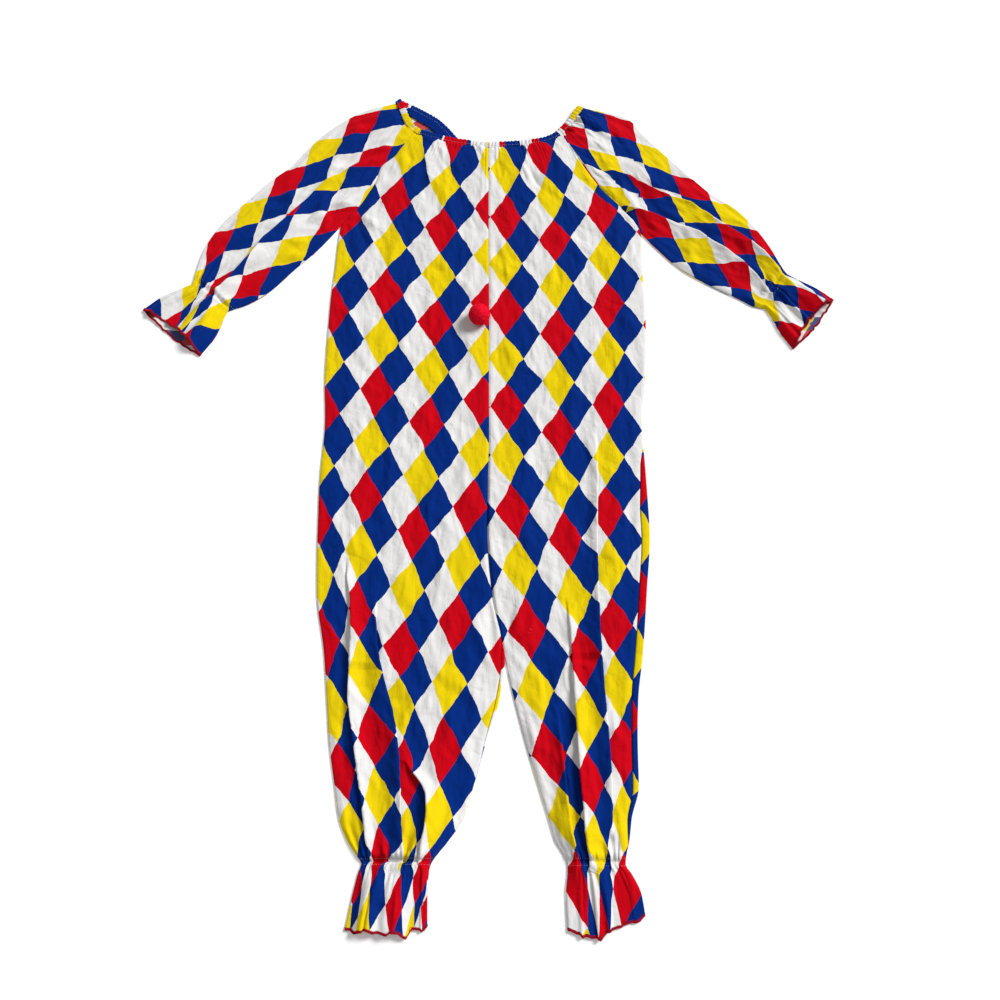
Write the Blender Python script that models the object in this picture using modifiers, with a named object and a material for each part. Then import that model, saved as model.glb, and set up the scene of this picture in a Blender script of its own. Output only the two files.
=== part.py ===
"""Clown jumpsuit, laid flat on its back: two front and two back panels, two raglan sleeves, a gathered
elastic neck and a pompom. Metres, +Z up, the neck toward +Y and the wearer's left toward +X."""

import math

import bmesh
import bpy
import numpy as np

MM = 0.001

# Driving sizes, in millimetres.
WALL = 1.4
SEAM_GAP = 0.3
SEAM_INSET = 0.25
LAYER_STEP = WALL + SEAM_GAP
REST_HEIGHT = WALL / 2
FRONT_HEIGHT = REST_HEIGHT + LAYER_STEP
NECK_BAND_WIDTH = 7.6
NECK_BAND_WALL = 1.8
NECK_BAND_GATHERS = 88
NECK_BAND_WAVE = 0.6
NECK_FRONT_HEIGHT = 4.8
NECK_BACK_HEIGHT = 1.5
ANKLE_GATHERS = 13
WRIST_GATHERS = 9
GATHER_HEIGHT = 2.2
ANKLE_RUFFLES = 5
WRIST_RUFFLES = 4
RUFFLE_HEIGHT = 6.5
POMPOM_RADIUS = 12.5
POMPOM_BASE = 9.0
POMPOM_X = -9.5
POMPOM_Y = 168.0

# A row per section, from the neck edge to the hem:
# name, outer x, outer y, inner x, inner y, rows to the next section, layer loft, gather, ruffle.
FRONT_RIGHT_SECTIONS = (
    ("neck", -89.5, 419.0, -0.5, 396.0, 1, 2.2, 0.0, 0.0),
    ("raglan_top", -110.0, 391.0, -0.5, 369.5, 1, 1.8, 0.0, 0.0),
    ("raglan_step", -127.5, 372.5, 0.0, 354.0, 1, 1.6, 0.0, 0.0),
    ("raglan_mid", -131.5, 355.5, 0.0, 338.5, 1, 1.5, 0.0, 0.0),
    ("raglan_low", -151.0, 318.5, 0.0, 306.0, 1, 1.5, 0.0, 0.0),
    ("armpit", -170.5, 292.0, 0.0, 285.5, 2, 1.5, 0.0, 0.0),
    ("rib", -174.5, 234.5, 0.5, 234.5, 2, 1.5, 0.0, 0.0),
    ("waist_top", -177.5, 179.5, 1.0, 179.5, 2, 1.4, 0.0, 0.0),
    ("waist", -178.5, 106.0, 1.0, 106.0, 2, 1.2, 0.0, 0.0),
    ("waist_low", -175.0, 33.0, 1.5, 33.0, 2, 1.2, 0.0, 0.0),
    ("hip_top", -177.0, -25.0, 0.5, -25.0, 2, 1.2, 0.0, 0.0),
    ("hip", -176.0, -81.5, 0.0, -81.5, 2, 1.4, 0.0, 0.0),
    ("seat", -173.0, -149.0, 5.0, -149.0, 2, 1.6, 0.0, 0.0),
    ("crotch", -162.0, -215.0, 18.0, -217.0, 1, 1.8, 0.0, 0.0),
    ("thigh", -157.0, -260.0, 12.5, -260.0, 1, 2.0, 0.0, 0.0),
    ("knee", -151.5, -307.0, -2.0, -307.0, 1, 2.2, 0.0, 0.0),
    ("calf", -145.0, -343.5, -12.0, -343.5, 1, 2.4, 0.0, 0.0),
    ("shin", -139.5, -373.5, -21.0, -373.5, 1, 2.6, 0.15, 0.0),
    ("taper", -131.0, -393.5, -34.5, -393.5, 1, 2.6, 0.5, 0.0),
    ("gather", -121.0, -408.0, -46.5, -408.0, 1, 2.6, 1.0, 0.0),
    ("elastic", -116.0, -415.0, -51.0, -415.0, 1, 2.6, 1.0, 0.0),
    ("release", -118.5, -422.5, -53.0, -422.5, 1, 2.6, 0.7, 0.3),
    ("ruffle", -123.0, -441.0, -54.0, -441.0, 1, 1.6, 0.0, 0.9),
    ("hem", -129.0, -473.5, -53.5, -471.0, 0, 0.8, 0.0, 1.0),
)
FRONT_LEFT_SECTIONS = (
    ("neck", 86.0, 414.5, -0.5, 396.0, 1, 2.2, 0.0, 0.0),
    ("raglan_top", 106.0, 385.5, -0.5, 369.5, 1, 1.8, 0.0, 0.0),
    ("raglan_step", 117.0, 366.5, 0.0, 354.0, 1, 1.6, 0.0, 0.0),
    ("raglan_mid", 128.5, 348.0, 0.0, 338.5, 1, 1.5, 0.0, 0.0),
    ("raglan_low", 161.0, 309.0, 0.0, 306.0, 1, 1.5, 0.0, 0.0),
    ("armpit", 175.5, 283.0, 0.0, 285.5, 2, 1.5, 0.0, 0.0),
    ("rib", 175.0, 234.5, 0.5, 234.5, 2, 1.5, 0.0, 0.0),
    ("waist_top", 176.0, 179.5, 1.0, 179.5, 2, 1.4, 0.0, 0.0),
    ("waist", 172.5, 106.0, 1.0, 106.0, 2, 1.2, 0.0, 0.0),
    ("waist_low", 166.0, 33.0, 1.5, 33.0, 2, 1.2, 0.0, 0.0),
    ("hip_top", 167.5, -25.0, 0.5, -25.0, 2, 1.2, 0.0, 0.0),
    ("hip", 168.5, -81.5, 0.0, -81.5, 2, 1.4, 0.0, 0.0),
    ("seat", 162.5, -149.0, 5.0, -149.0, 2, 1.6, 0.0, 0.0),
    ("crotch", 155.5, -215.0, 18.0, -217.0, 1, 1.8, 0.0, 0.0),
    ("thigh", 149.0, -260.0, 27.5, -260.0, 1, 2.0, 0.0, 0.0),
    ("knee", 146.5, -307.0, 39.5, -307.0, 1, 2.2, 0.0, 0.0),
    ("calf", 146.0, -343.5, 50.0, -343.5, 1, 2.4, 0.0, 0.0),
    ("shin", 138.0, -373.5, 59.0, -373.5, 1, 2.6, 0.15, 0.0),
    ("taper", 135.0, -393.5, 65.0, -393.5, 1, 2.6, 0.5, 0.0),
    ("gather", 131.5, -408.0, 73.5, -408.0, 1, 2.6, 1.0, 0.0),
    ("elastic", 130.5, -416.0, 76.5, -416.0, 1, 2.6, 1.0, 0.0),
    ("release", 135.5, -423.5, 76.5, -423.5, 1, 2.6, 0.7, 0.3),
    ("ruffle", 144.0, -441.0, 74.5, -441.0, 1, 1.6, 0.0, 0.9),
    ("hem", 147.0, -460.5, 75.5, -474.0, 0, 0.8, 0.0, 1.0),
)

# The back raglan seams, a point at each section from the neck edge to the armpit: x, y.
BACK_RAGLAN_RIGHT = (
    (-72.0, 436.0), (-105.5, 388.5), (-125.0, 370.5), (-130.0, 354.0), (-151.0, 318.0), (-170.5, 291.0),
)
BACK_RAGLAN_LEFT = (
    (91.0, 417.5), (107.5, 382.5), (117.0, 365.5), (128.5, 347.0), (160.5, 307.5), (175.5, 282.0),
)
BACK_NECK_INNER = (-0.5, 392.0)
# How far the back neck edge dips below a straight line, at the first rows.
BACK_NECK_DIP = (-13.0, -5.0, -2.0)
FRONT_NECK_DIP = 3.0
SLEEVE_NECK_DIP = 3.0

# A row per section, from the neck edge to the hem:
# name, seam x, seam y, fold x, fold y, rows to the next section, gather, ruffle.
# The seam side is the raglan seam down to the armpit and the underarm seam from there on.
SLEEVE_RIGHT_SECTIONS = (
    ("neck", -89.5, 419.0, -116.0, 466.5, 1, 0.0, 0.0),
    ("raglan_top", -110.0, 391.0, -148.5, 456.5, 1, 0.0, 0.0),
    ("raglan_step", -127.5, 372.5, -171.0, 443.0, 1, 0.0, 0.0),
    ("raglan_mid", -131.5, 355.5, -189.5, 428.5, 1, 0.0, 0.0),
    ("raglan_low", -151.0, 318.5, -217.5, 397.0, 1, 0.0, 0.0),
    ("armpit", -170.5, 292.0, -232.5, 376.0, 1, 0.0, 0.0),
    ("upper_arm", -194.0, 261.0, -255.0, 355.5, 1, 0.0, 0.0),
    ("elbow", -219.0, 234.5, -282.0, 325.5, 1, 0.0, 0.0),
    ("forearm", -248.5, 202.5, -311.5, 289.0, 1, 0.0, 0.0),
    ("taper", -271.0, 187.5, -327.0, 254.5, 1, 0.3, 0.0),
    ("gather", -284.0, 182.0, -332.0, 229.0, 1, 1.0, 0.0),
    ("elastic", -291.0, 178.5, -334.5, 215.0, 1, 1.0, 0.0),
    ("release", -295.0, 169.0, -343.0, 210.0, 1, 0.6, 0.4),
    ("ruffle", -302.0, 147.5, -364.5, 199.0, 1, 0.0, 0.9),
    ("hem", -317.5, 122.0, -386.5, 180.5, 0, 0.0, 1.0),
)
SLEEVE_LEFT_SECTIONS = (
    ("neck", 86.0, 414.5, 117.0, 459.5, 1, 0.0, 0.0),
    ("raglan_top", 106.0, 385.5, 149.5, 451.5, 1, 0.0, 0.0),
    ("raglan_step", 117.0, 366.5, 168.5, 443.0, 1, 0.0, 0.0),
    ("raglan_mid", 128.5, 348.0, 182.0, 424.0, 1, 0.0, 0.0),
    ("raglan_low", 161.0, 309.0, 217.0, 382.0, 1, 0.0, 0.0),
    ("armpit", 175.5, 283.0, 235.0, 362.5, 1, 0.0, 0.0),
    ("upper_arm", 195.5, 258.5, 260.0, 336.0, 1, 0.0, 0.0),
    ("elbow", 218.0, 234.5, 286.5, 315.5, 1, 0.0, 0.0),
    ("forearm", 256.5, 209.0, 310.0, 285.5, 1, 0.0, 0.0),
    ("taper", 284.5, 193.5, 324.5, 258.5, 1, 0.3, 0.0),
    ("gather", 298.5, 185.0, 332.5, 239.0, 1, 1.0, 0.0),
    ("elastic", 309.5, 182.0, 339.0, 227.5, 1, 1.0, 0.0),
    ("release", 316.5, 171.5, 350.0, 220.5, 1, 0.6, 0.4),
    ("ruffle", 325.5, 150.0, 371.5, 207.5, 1, 0.0, 0.9),
    ("hem", 337.5, 131.0, 388.0, 193.5, 0, 0.0, 1.0),
)

# The upper edge of the neck band, from the right shoulder peak to the left one: x, y.
NECK_FRONT_EDGE = (
    (-107.0, 474.0), (-99.0, 456.0), (-93.5, 439.5), (-85.0, 429.0), (-62.0, 420.5), (-40.5, 414.5),
    (-1.0, 408.5), (37.0, 411.0), (67.0, 416.0), (81.5, 424.5), (95.0, 442.5), (106.5, 463.5),
)
NECK_BACK_EDGE = (
    (-107.0, 474.0), (-82.0, 460.5), (-60.0, 445.5), (-46.5, 430.5), (-35.5, 414.5), (-1.0, 403.0),
    (49.0, 404.0), (69.5, 417.5), (83.0, 430.5), (96.5, 447.0), (106.5, 463.5),
)

# The largest folds of each front panel: top y, place across at the top, bottom y, place across at the
# bottom, half width, height. Places across run from 0 at the outer edge to 1 at the inner edge.
FRONT_RIGHT_FOLDS = (
    (-64.0, 0.18, -394.0, 0.19, 13.0, 5.0),
    (-294.0, 0.52, -412.0, 0.72, 12.0, 6.0),
    (356.0, 0.30, 186.0, 0.10, 16.0, 2.5),
)
FRONT_LEFT_FOLDS = (
    (26.0, 0.27, -304.0, 0.26, 13.0, 4.5),
    (-194.0, 0.52, -409.0, 0.64, 15.0, 6.0),
    (-254.0, 0.66, -412.0, 0.80, 11.0, 4.0),
)
SLEEVE_FOLD_HEIGHT = 3.0

CLOTH_COLORS = {
    "front_right": (0.75, 0.74, 0.73, 1.0),
    "front_left": (0.02, 0.05, 0.26, 1.0),
    "back_right": (0.02, 0.05, 0.26, 1.0),
    "back_left": (0.75, 0.74, 0.73, 1.0),
    "sleeve_right": (0.82, 0.62, 0.02, 1.0),
    "sleeve_left": (0.82, 0.62, 0.02, 1.0),
    "neck_casing": (0.70, 0.01, 0.02, 1.0),
    "pompom": (0.75, 0.01, 0.03, 1.0),
}


def clear_scene():
    for old in list(bpy.data.objects):
        bpy.data.objects.remove(old, do_unlink=True)


def smooth_step(value):
    value = np.clip(value, 0.0, 1.0)
    return value * value * (3.0 - 2.0 * value)


def section_rows(sections, numbers, steps_column):
    """The sections' numbers with the rows between them filled in along straight lines."""
    rows = []
    for here, after in zip(sections, sections[1:]):
        steps = here[steps_column]
        for step in range(steps):
            mix = step / steps
            rows.append([here[n] + (after[n] - here[n]) * mix for n in numbers])
    rows.append([sections[-1][n] for n in numbers])
    return np.array(rows, dtype=float)


def zigzag(columns):
    """0 and 1 by turns, a wave to each pair of columns."""
    return (np.arange(columns + 1) % 2).astype(float)


def ruffle_wave(place, count):
    return np.sin(math.pi * count * place) ** 2


def fold_height(x, y, folds, outer_x, inner_x):
    """The height that the large folds add at each point of one row."""
    height = np.zeros_like(x)
    for top_y, top_place, bottom_y, bottom_place, half_width, rise in folds:
        along = (top_y - y) / (top_y - bottom_y)
        inside = (along > 0.0) & (along < 1.0)
        envelope = np.where(inside, np.sin(math.pi * np.clip(along, 0.0, 1.0)), 0.0) ** 0.7
        place = top_place + (bottom_place - top_place) * np.clip(along, 0.0, 1.0)
        centre = outer_x + (inner_x - outer_x) * place
        near = np.clip(np.abs(x - centre) / half_width, 0.0, 1.0)
        height += rise * envelope * 0.5 * (1.0 + np.cos(math.pi * near))
    return height


def front_grid(sections, folds, columns):
    """The mid-surface of a front panel, a row of points to each section."""
    rows = section_rows(sections, (1, 2, 3, 4, 6, 7, 8), 5)
    place = np.linspace(0.0, 1.0, columns + 1)
    crotch = [section[0] for section in sections].index("crotch")
    armpit = [section[0] for section in sections].index("armpit")
    crotch_y = sections[crotch][4]
    armpit_y = sections[armpit][2]
    neck_y = sections[0][2]
    grid = []
    for number, (outer_x, outer_y, inner_x, inner_y, loft, gather, ruffle) in enumerate(rows):
        toward_centre = math.copysign(1.0, inner_x - outer_x)
        start = outer_x + toward_centre * SEAM_INSET
        end = inner_x - toward_centre * SEAM_INSET
        x = start + (end - start) * place
        y = outer_y + (inner_y - outer_y) * place
        if number == 0:
            y = y - FRONT_NECK_DIP * np.sin(math.pi * place)
        above = smooth_step((outer_y - armpit_y) / (neck_y - armpit_y))
        outer_z = FRONT_HEIGHT + (NECK_FRONT_HEIGHT - FRONT_HEIGHT) * float(above)
        opened = float(smooth_step((crotch_y + 30.0 - inner_y) / 30.0))
        inner_z = outer_z + loft * (1.0 - opened)
        swell = 1.0 - np.abs(2.0 * place - 1.0) ** 6
        inner_share = np.where(place > 0.5, opened, 1.0)
        swell = 1.0 - (1.0 - swell) * inner_share
        base = outer_z + loft * swell
        base[-1] = inner_z
        quiet = 1.0 - np.abs(2.0 * place - 1.0) ** 6
        folds_z = fold_height(x, y, folds, outer_x, inner_x) * quiet
        waves = GATHER_HEIGHT * gather * zigzag(columns) * quiet
        ruffles = RUFFLE_HEIGHT * ruffle * ruffle_wave(place, ANKLE_RUFFLES) * quiet
        grid.append(np.column_stack([x, y, base + folds_z + waves + ruffles]))
    return np.array(grid)


def back_grid(sections, raglan, columns):
    """The mid-surface of a back panel, flat on the floor but for the ankle's gathers."""
    flat = []
    for number, section in enumerate(sections):
        name, outer_x, outer_y, inner_x, inner_y, _, _, gather, _ = section
        if number < len(raglan):
            outer_x, outer_y = raglan[number]
        if number == 0:
            inner_x, inner_y = BACK_NECK_INNER
        flat.append((name, outer_x, outer_y, inner_x, inner_y, 1, gather))
    skipped = ("rib", "waist_top", "waist_low", "hip_top", "hip", "knee")
    flat = [section for section in flat if section[0] not in skipped]
    rows = section_rows(flat, (1, 2, 3, 4, 6), 5)
    place = np.linspace(0.0, 1.0, columns + 1)
    grid = []
    for number, (outer_x, outer_y, inner_x, inner_y, gather) in enumerate(rows):
        toward_centre = math.copysign(1.0, inner_x - outer_x)
        start = outer_x + toward_centre * SEAM_INSET
        end = inner_x - toward_centre * SEAM_INSET
        x = start + (end - start) * place
        y = outer_y + (inner_y - outer_y) * place
        if number < len(BACK_NECK_DIP):
            y = y + BACK_NECK_DIP[number] * np.sin(math.pi * place)
        quiet = 1.0 - np.abs(2.0 * place - 1.0) ** 6
        z = REST_HEIGHT + GATHER_HEIGHT * 0.9 * gather * zigzag(columns) * quiet
        grid.append(np.column_stack([x, y, z]))
    return np.array(grid)


def sleeve_grid(sections, raglan, columns):
    """The mid-surface of a sleeve: over the arm, round the shoulder fold and back under it."""
    rows = section_rows(sections, (1, 2, 3, 4, 6, 7), 5)
    under = section_rows([(x, y, section[5]) for (x, y), section in zip(raglan, sections)], (0, 1), 2)
    place = np.linspace(0.0, 1.0, columns + 1)
    armpit_row = len(under) - 1
    grid = []
    for number, (seam_x, seam_y, fold_x, fold_y, gather, ruffle) in enumerate(rows):
        seam = np.array([seam_x, seam_y])
        fold = np.array([fold_x, fold_y])
        under_seam = under[number] if number < armpit_row else seam
        across = (fold - seam) / np.linalg.norm(fold - seam)
        under_across = (fold - under_seam) / np.linalg.norm(fold - under_seam)
        above = float(smooth_step((armpit_row - number) / armpit_row))
        seam_z = FRONT_HEIGHT + (NECK_FRONT_HEIGHT - FRONT_HEIGHT) * above
        turn = (seam_z - REST_HEIGHT) / 2
        fold_point = fold - across * turn
        seam_point = seam + across * 2.0 * SEAM_INSET
        under_point = under_seam + under_across * 2.0 * SEAM_INSET
        quiet = 1.0 - np.abs(2.0 * place - 1.0) ** 6
        loft = 2.4 * max(gather, 0.5)
        top_xy = seam_point + np.outer(place, fold_point - seam_point)
        if number == 0:
            down_arm = np.array([across[1], -across[0]]) * math.copysign(1.0, seam_x)
            top_xy = top_xy + np.outer(np.sin(math.pi * place), down_arm) * SLEEVE_NECK_DIP
        fold_env = math.sin(math.pi * min(number / 14.0, 1.0))
        soft_fold = SLEEVE_FOLD_HEIGHT * fold_env * np.sin(1.5 * math.pi * place) ** 2
        top_z = seam_z + quiet * (loft + soft_fold + GATHER_HEIGHT * gather * zigzag(columns))
        top_z = top_z + quiet * RUFFLE_HEIGHT * ruffle * ruffle_wave(place, WRIST_RUFFLES)
        top = np.column_stack([top_xy, top_z])
        angles = np.array([0.25, 0.5, 0.75]) * math.pi
        turn_xy = fold_point + np.outer(np.sin(angles) * turn, across)
        turn_z = REST_HEIGHT + turn + turn * np.cos(angles)
        bend = np.column_stack([turn_xy, turn_z])
        under_xy = fold_point + np.outer(place, under_point - fold_point)
        under_z = REST_HEIGHT + quiet * GATHER_HEIGHT * 0.9 * gather * zigzag(columns)
        below = np.column_stack([under_xy, under_z])
        grid.append(np.vstack([top, bend, below]))
    return np.array(grid)


def even_points(edge, count):
    """Points at even distances along a bent line."""
    edge = np.array(edge, dtype=float)
    lengths = np.linalg.norm(np.diff(edge, axis=0), axis=1)
    travelled = np.concatenate([[0.0], np.cumsum(lengths)])
    wanted = np.linspace(0.0, travelled[-1], count)
    return np.column_stack([np.interp(wanted, travelled, edge[:, n]) for n in (0, 1)])


def rounded(points, passes):
    """The same points with their corners eased, the ends held."""
    for _ in range(passes):
        eased = points.copy()
        eased[1:-1] = 0.25 * points[:-2] + 0.5 * points[1:-1] + 0.25 * points[2:]
        points = eased
    return points


def inward(points, start, end):
    """Unit directions from the band's upper edge into the cloth, with the ends given."""
    along = np.gradient(points, axis=0)
    along = along / np.linalg.norm(along, axis=1)[:, None]
    side = np.column_stack([along[:, 1], -along[:, 0]])
    ease = 6
    for number in range(ease):
        mix = number / ease
        side[number] = (1.0 - mix) * np.array(start) + mix * side[number]
        side[-1 - number] = (1.0 - mix) * np.array(end) + mix * side[-1 - number]
    return side / np.linalg.norm(side, axis=1)[:, None]


def neck_grid():
    """The mid-surface of the neck band: a closed ring pressed flat, folded at the shoulder peaks."""
    half = NECK_BAND_GATHERS
    right_fold = np.array(SLEEVE_RIGHT_SECTIONS[0][3:5]) - np.array(NECK_FRONT_EDGE[0])
    left_fold = np.array(SLEEVE_LEFT_SECTIONS[0][3:5]) - np.array(NECK_FRONT_EDGE[-1])
    right_fold = right_fold / np.linalg.norm(right_fold)
    left_fold = left_fold / np.linalg.norm(left_fold)
    front = rounded(even_points(NECK_FRONT_EDGE, half), 4)
    back = rounded(even_points(NECK_BACK_EDGE, half), 4)
    front_side = inward(front, right_fold, left_fold)
    back_side = inward(back, right_fold, left_fold)
    rise = NECK_FRONT_HEIGHT - NECK_BACK_HEIGHT
    halves = (
        (front, front_side, NECK_FRONT_HEIGHT),
        (back[::-1], back_side[::-1], NECK_BACK_HEIGHT),
    )
    stations = []
    for edge, side, level in halves:
        for number, (point, direction) in enumerate(zip(edge, side)):
            from_end = min(number, half - 1 - number)
            middle = NECK_BACK_HEIGHT + rise / 2
            settle = math.sqrt(1.0 - (1.0 - min(from_end / 2.0, 1.0)) ** 2)
            wave = NECK_BAND_WAVE * (1.0 if number % 2 else -1.0) * min(from_end / 3.0, 1.0)
            z = middle + (level - middle) * max(settle, 0.30) + wave
            across = [np.append(point + direction * NECK_BAND_WIDTH * share, z) for share in (0.0, 1.0)]
            stations.append(across)
    return np.array(stations)


def sheet_faces(rows, columns, ring):
    """The quads of a grid, its rows joined end to end where it's a ring."""
    last = rows if ring else rows - 1
    faces = []
    for row in range(last):
        after = (row + 1) % rows
        for column in range(columns - 1):
            here = row * columns + column
            there = after * columns + column
            faces.append((here, there, there + 1, here + 1))
    return faces


def cloth(name, grid, wall, ring=False):
    """A sheet through the grid's points, thickened evenly about them."""
    rows, columns = grid.shape[:2]
    points = grid.reshape(-1, 3) * MM
    mesh = bpy.data.meshes.new(name)
    mesh.from_pydata([tuple(point) for point in points], [], sheet_faces(rows, columns, ring))
    mesh.shade_smooth()
    sheet = named_object(name, mesh)
    thicken = sheet.modifiers.new("cloth_wall", "SOLIDIFY")
    thicken.thickness = wall * MM
    thicken.offset = 0.0
    return sheet


def named_object(name, mesh):
    material = bpy.data.materials.new(name + "_cloth")
    material.use_nodes = True
    shader = material.node_tree.nodes["Principled BSDF"]
    shader.inputs["Base Color"].default_value = CLOTH_COLORS[name]
    shader.inputs["Roughness"].default_value = 0.85
    mesh.materials.append(material)
    made = bpy.data.objects.new(name, mesh)
    jumpsuit.objects.link(made)
    return made


def highest_near(grids, x, y, reach):
    heights = []
    for grid in grids:
        points = grid.reshape(-1, 3)
        near = np.hypot(points[:, 0] - x, points[:, 1] - y) < reach
        if near.any():
            heights.append(points[near, 2].max())
    return max(heights)


def pompom_ball(rest_height):
    """A ball pressed flat where it's sewn on."""
    shape = bmesh.new()
    bmesh.ops.create_icosphere(shape, subdivisions=3, radius=POMPOM_RADIUS)
    for vertex in shape.verts:
        vertex.co.z = max(vertex.co.z, -POMPOM_BASE)
        vertex.co.x += POMPOM_X
        vertex.co.y += POMPOM_Y
        vertex.co.z += POMPOM_BASE + rest_height
        vertex.co *= MM
    mesh = bpy.data.meshes.new("pompom")
    shape.to_mesh(mesh)
    shape.free()
    mesh.shade_smooth()
    return named_object("pompom", mesh)


clear_scene()
jumpsuit = bpy.data.collections.new("clown_jumpsuit")
bpy.context.scene.collection.children.link(jumpsuit)

ankle_columns = 2 * ANKLE_GATHERS
wrist_columns = 2 * WRIST_GATHERS
front_right = front_grid(FRONT_RIGHT_SECTIONS, FRONT_RIGHT_FOLDS, ankle_columns)
front_left = front_grid(FRONT_LEFT_SECTIONS, FRONT_LEFT_FOLDS, ankle_columns)
cloth("front_right", front_right, WALL)
cloth("front_left", front_left, WALL)
cloth("back_right", back_grid(FRONT_RIGHT_SECTIONS, BACK_RAGLAN_RIGHT, ankle_columns), WALL)
cloth("back_left", back_grid(FRONT_LEFT_SECTIONS, BACK_RAGLAN_LEFT, ankle_columns), WALL)
cloth("sleeve_right", sleeve_grid(SLEEVE_RIGHT_SECTIONS, BACK_RAGLAN_RIGHT, wrist_columns), WALL)
cloth("sleeve_left", sleeve_grid(SLEEVE_LEFT_SECTIONS, BACK_RAGLAN_LEFT, wrist_columns), WALL)
cloth("neck_casing", neck_grid(), NECK_BAND_WALL, ring=True)
panel_top = highest_near([front_right, front_left], POMPOM_X, POMPOM_Y, 16.0)
pompom_ball(panel_top + WALL / 2 + SEAM_GAP)
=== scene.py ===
"""Clown jumpsuit laid flat on its back, in harlequin cloth with ruffles, a gathered neck and a pompom.

The tables are in millimetres, in the part's frame: +Y toward the neck, +X toward the wearer's left, +Z up.
Meshes are in metres.
"""

import logging
import math
from dataclasses import dataclass, field
from enum import Enum
from typing import Sequence

import bmesh
import bpy
import numpy as np
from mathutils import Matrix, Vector


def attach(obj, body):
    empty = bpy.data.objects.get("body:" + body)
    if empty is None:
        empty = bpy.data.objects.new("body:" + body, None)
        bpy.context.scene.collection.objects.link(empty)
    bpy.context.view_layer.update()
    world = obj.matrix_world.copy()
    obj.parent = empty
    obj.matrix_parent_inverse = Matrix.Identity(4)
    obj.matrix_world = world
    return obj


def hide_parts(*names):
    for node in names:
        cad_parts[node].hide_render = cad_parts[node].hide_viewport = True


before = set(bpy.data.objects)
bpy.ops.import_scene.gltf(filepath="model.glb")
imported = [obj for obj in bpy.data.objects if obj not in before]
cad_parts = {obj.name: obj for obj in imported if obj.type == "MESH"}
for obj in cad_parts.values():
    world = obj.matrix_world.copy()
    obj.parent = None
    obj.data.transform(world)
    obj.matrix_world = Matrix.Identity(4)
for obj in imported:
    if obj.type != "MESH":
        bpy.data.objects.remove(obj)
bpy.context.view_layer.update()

log = logging.getLogger("jumpsuit")
MM = 0.001

CLOTH_THICKNESS = 0.36
REST_HEIGHT = 0.4
SEAM_HEIGHT = 1.5
FRONT_HEIGHT = 2.4
NECK_FRONT_HEIGHT = 4.8
NECK_BACK_HEIGHT = 1.5
NECK_BAND_WIDTH = 7.6
NECK_BAND_THICKNESS = 1.9
POMPOM_RADIUS = 12.5
POMPOM_PLACE = (-9.5, 168.0)
LEG_STITCHES = (19.35, 20.15)
SLEEVE_STITCHES = (10.1, 11.0)
CROTCH_SECTION = 13
ARMPIT_SECTION = 5
BACK_NECK_INNER = (-0.5, 392.0)
BACK_BAND_SPREAD = 4.4
BACK_WAVE_LIMIT = 1.5
RUFFLE_SWAY = 3.2
HEM_LIFT = 0.36
HIDDEN_HEM_DROP = 0.45
SLEEVE_NECK_DIP = 3.0
SLEEVE_TOP_COLUMNS = 112
CASING_REACH = 10.0
CASING_DIP = 0.9
HEM_REACH = 6.0
ARMPIT_BLEND = 12.0
CROTCH_BLEND = 26.0
HALF_DIAMOND_WIDTH = 19.0
HALF_DIAMOND_HEIGHT = 31.0
FINE_STEPS = 720
TURN = 2.0 * math.pi

Points = Sequence[tuple[float, ...]]
Array = np.ndarray
Piece, Material = bpy.types.Object, bpy.types.Material
Node, Socket, Tree = bpy.types.Node, bpy.types.NodeSocket, bpy.types.NodeTree
Inputs = Sequence[tuple[str, str, object]]

# The cloth at each section of a front panel, from the neck edge to the hem: distance between rows,
# loft, gather, ruffle.
PANEL_CLOTH: Points = (
    (1.3, 2.2, 0, 0), (1.7, 1.8, 0, 0), (2.3, 1.6, 0, 0), (2.8, 1.5, 0, 0), (2.8, 1.5, 0, 0),
    (3.4, 1.5, 0, 0), (4.2, 1.5, 0, 0), (4, 1.4, 0, 0), (4, 1.2, 0, 0), (4, 1.2, 0, 0), (4, 1.2, 0, 0),
    (4.2, 1.4, 0, 0), (3.6, 1.6, 0, 0), (3.4, 1.8, 0, 0), (3.4, 2, 0, 0), (3.2, 2.2, 0, 0),
    (2.8, 2.4, 0, 0), (2.2, 2.6, 0.24, 0), (1.7, 2.6, 0.66, 0), (1.5, 2.6, 1, 0), (1.5, 2.6, 1, 0),
    (1.7, 2.6, 0.7, 0.3), (1.9, 1.6, 0.12, 0.9), (1.9, 0.8, 0, 1),
)
# The front panels' two edges at each section: outer x, outer y, inner x, inner y.
FRONT_RIGHT_EDGES: Points = (
    (-89.5, 419, -0.5, 396), (-110, 391, -0.5, 369.5), (-127.5, 372.5, 0, 354), (-131.5, 355.5, 0, 338.5),
    (-151, 318.5, 0, 306), (-170.5, 292, 0, 285.5), (-174.5, 234.5, 0.5, 234.5), (-177.5, 179.5, 1, 179.5),
    (-178.5, 106, 1, 106), (-175, 33, 1.5, 33), (-177, -25, 0.5, -25), (-176, -81.5, 0, -81.5),
    (-173, -149, 5, -149), (-162, -215, 18, -217), (-157, -260, 12.5, -260), (-151.5, -307, -2, -307),
    (-145, -343.5, -12, -343.5), (-139.5, -373.5, -21, -373.5), (-131, -393.5, -34.5, -393.5),
    (-121, -408, -46.5, -408), (-116, -415, -51, -415), (-118.5, -422.5, -53, -422.5),
    (-123, -441, -54, -441), (-129, -473.5, -53.5, -471),
)
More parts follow.
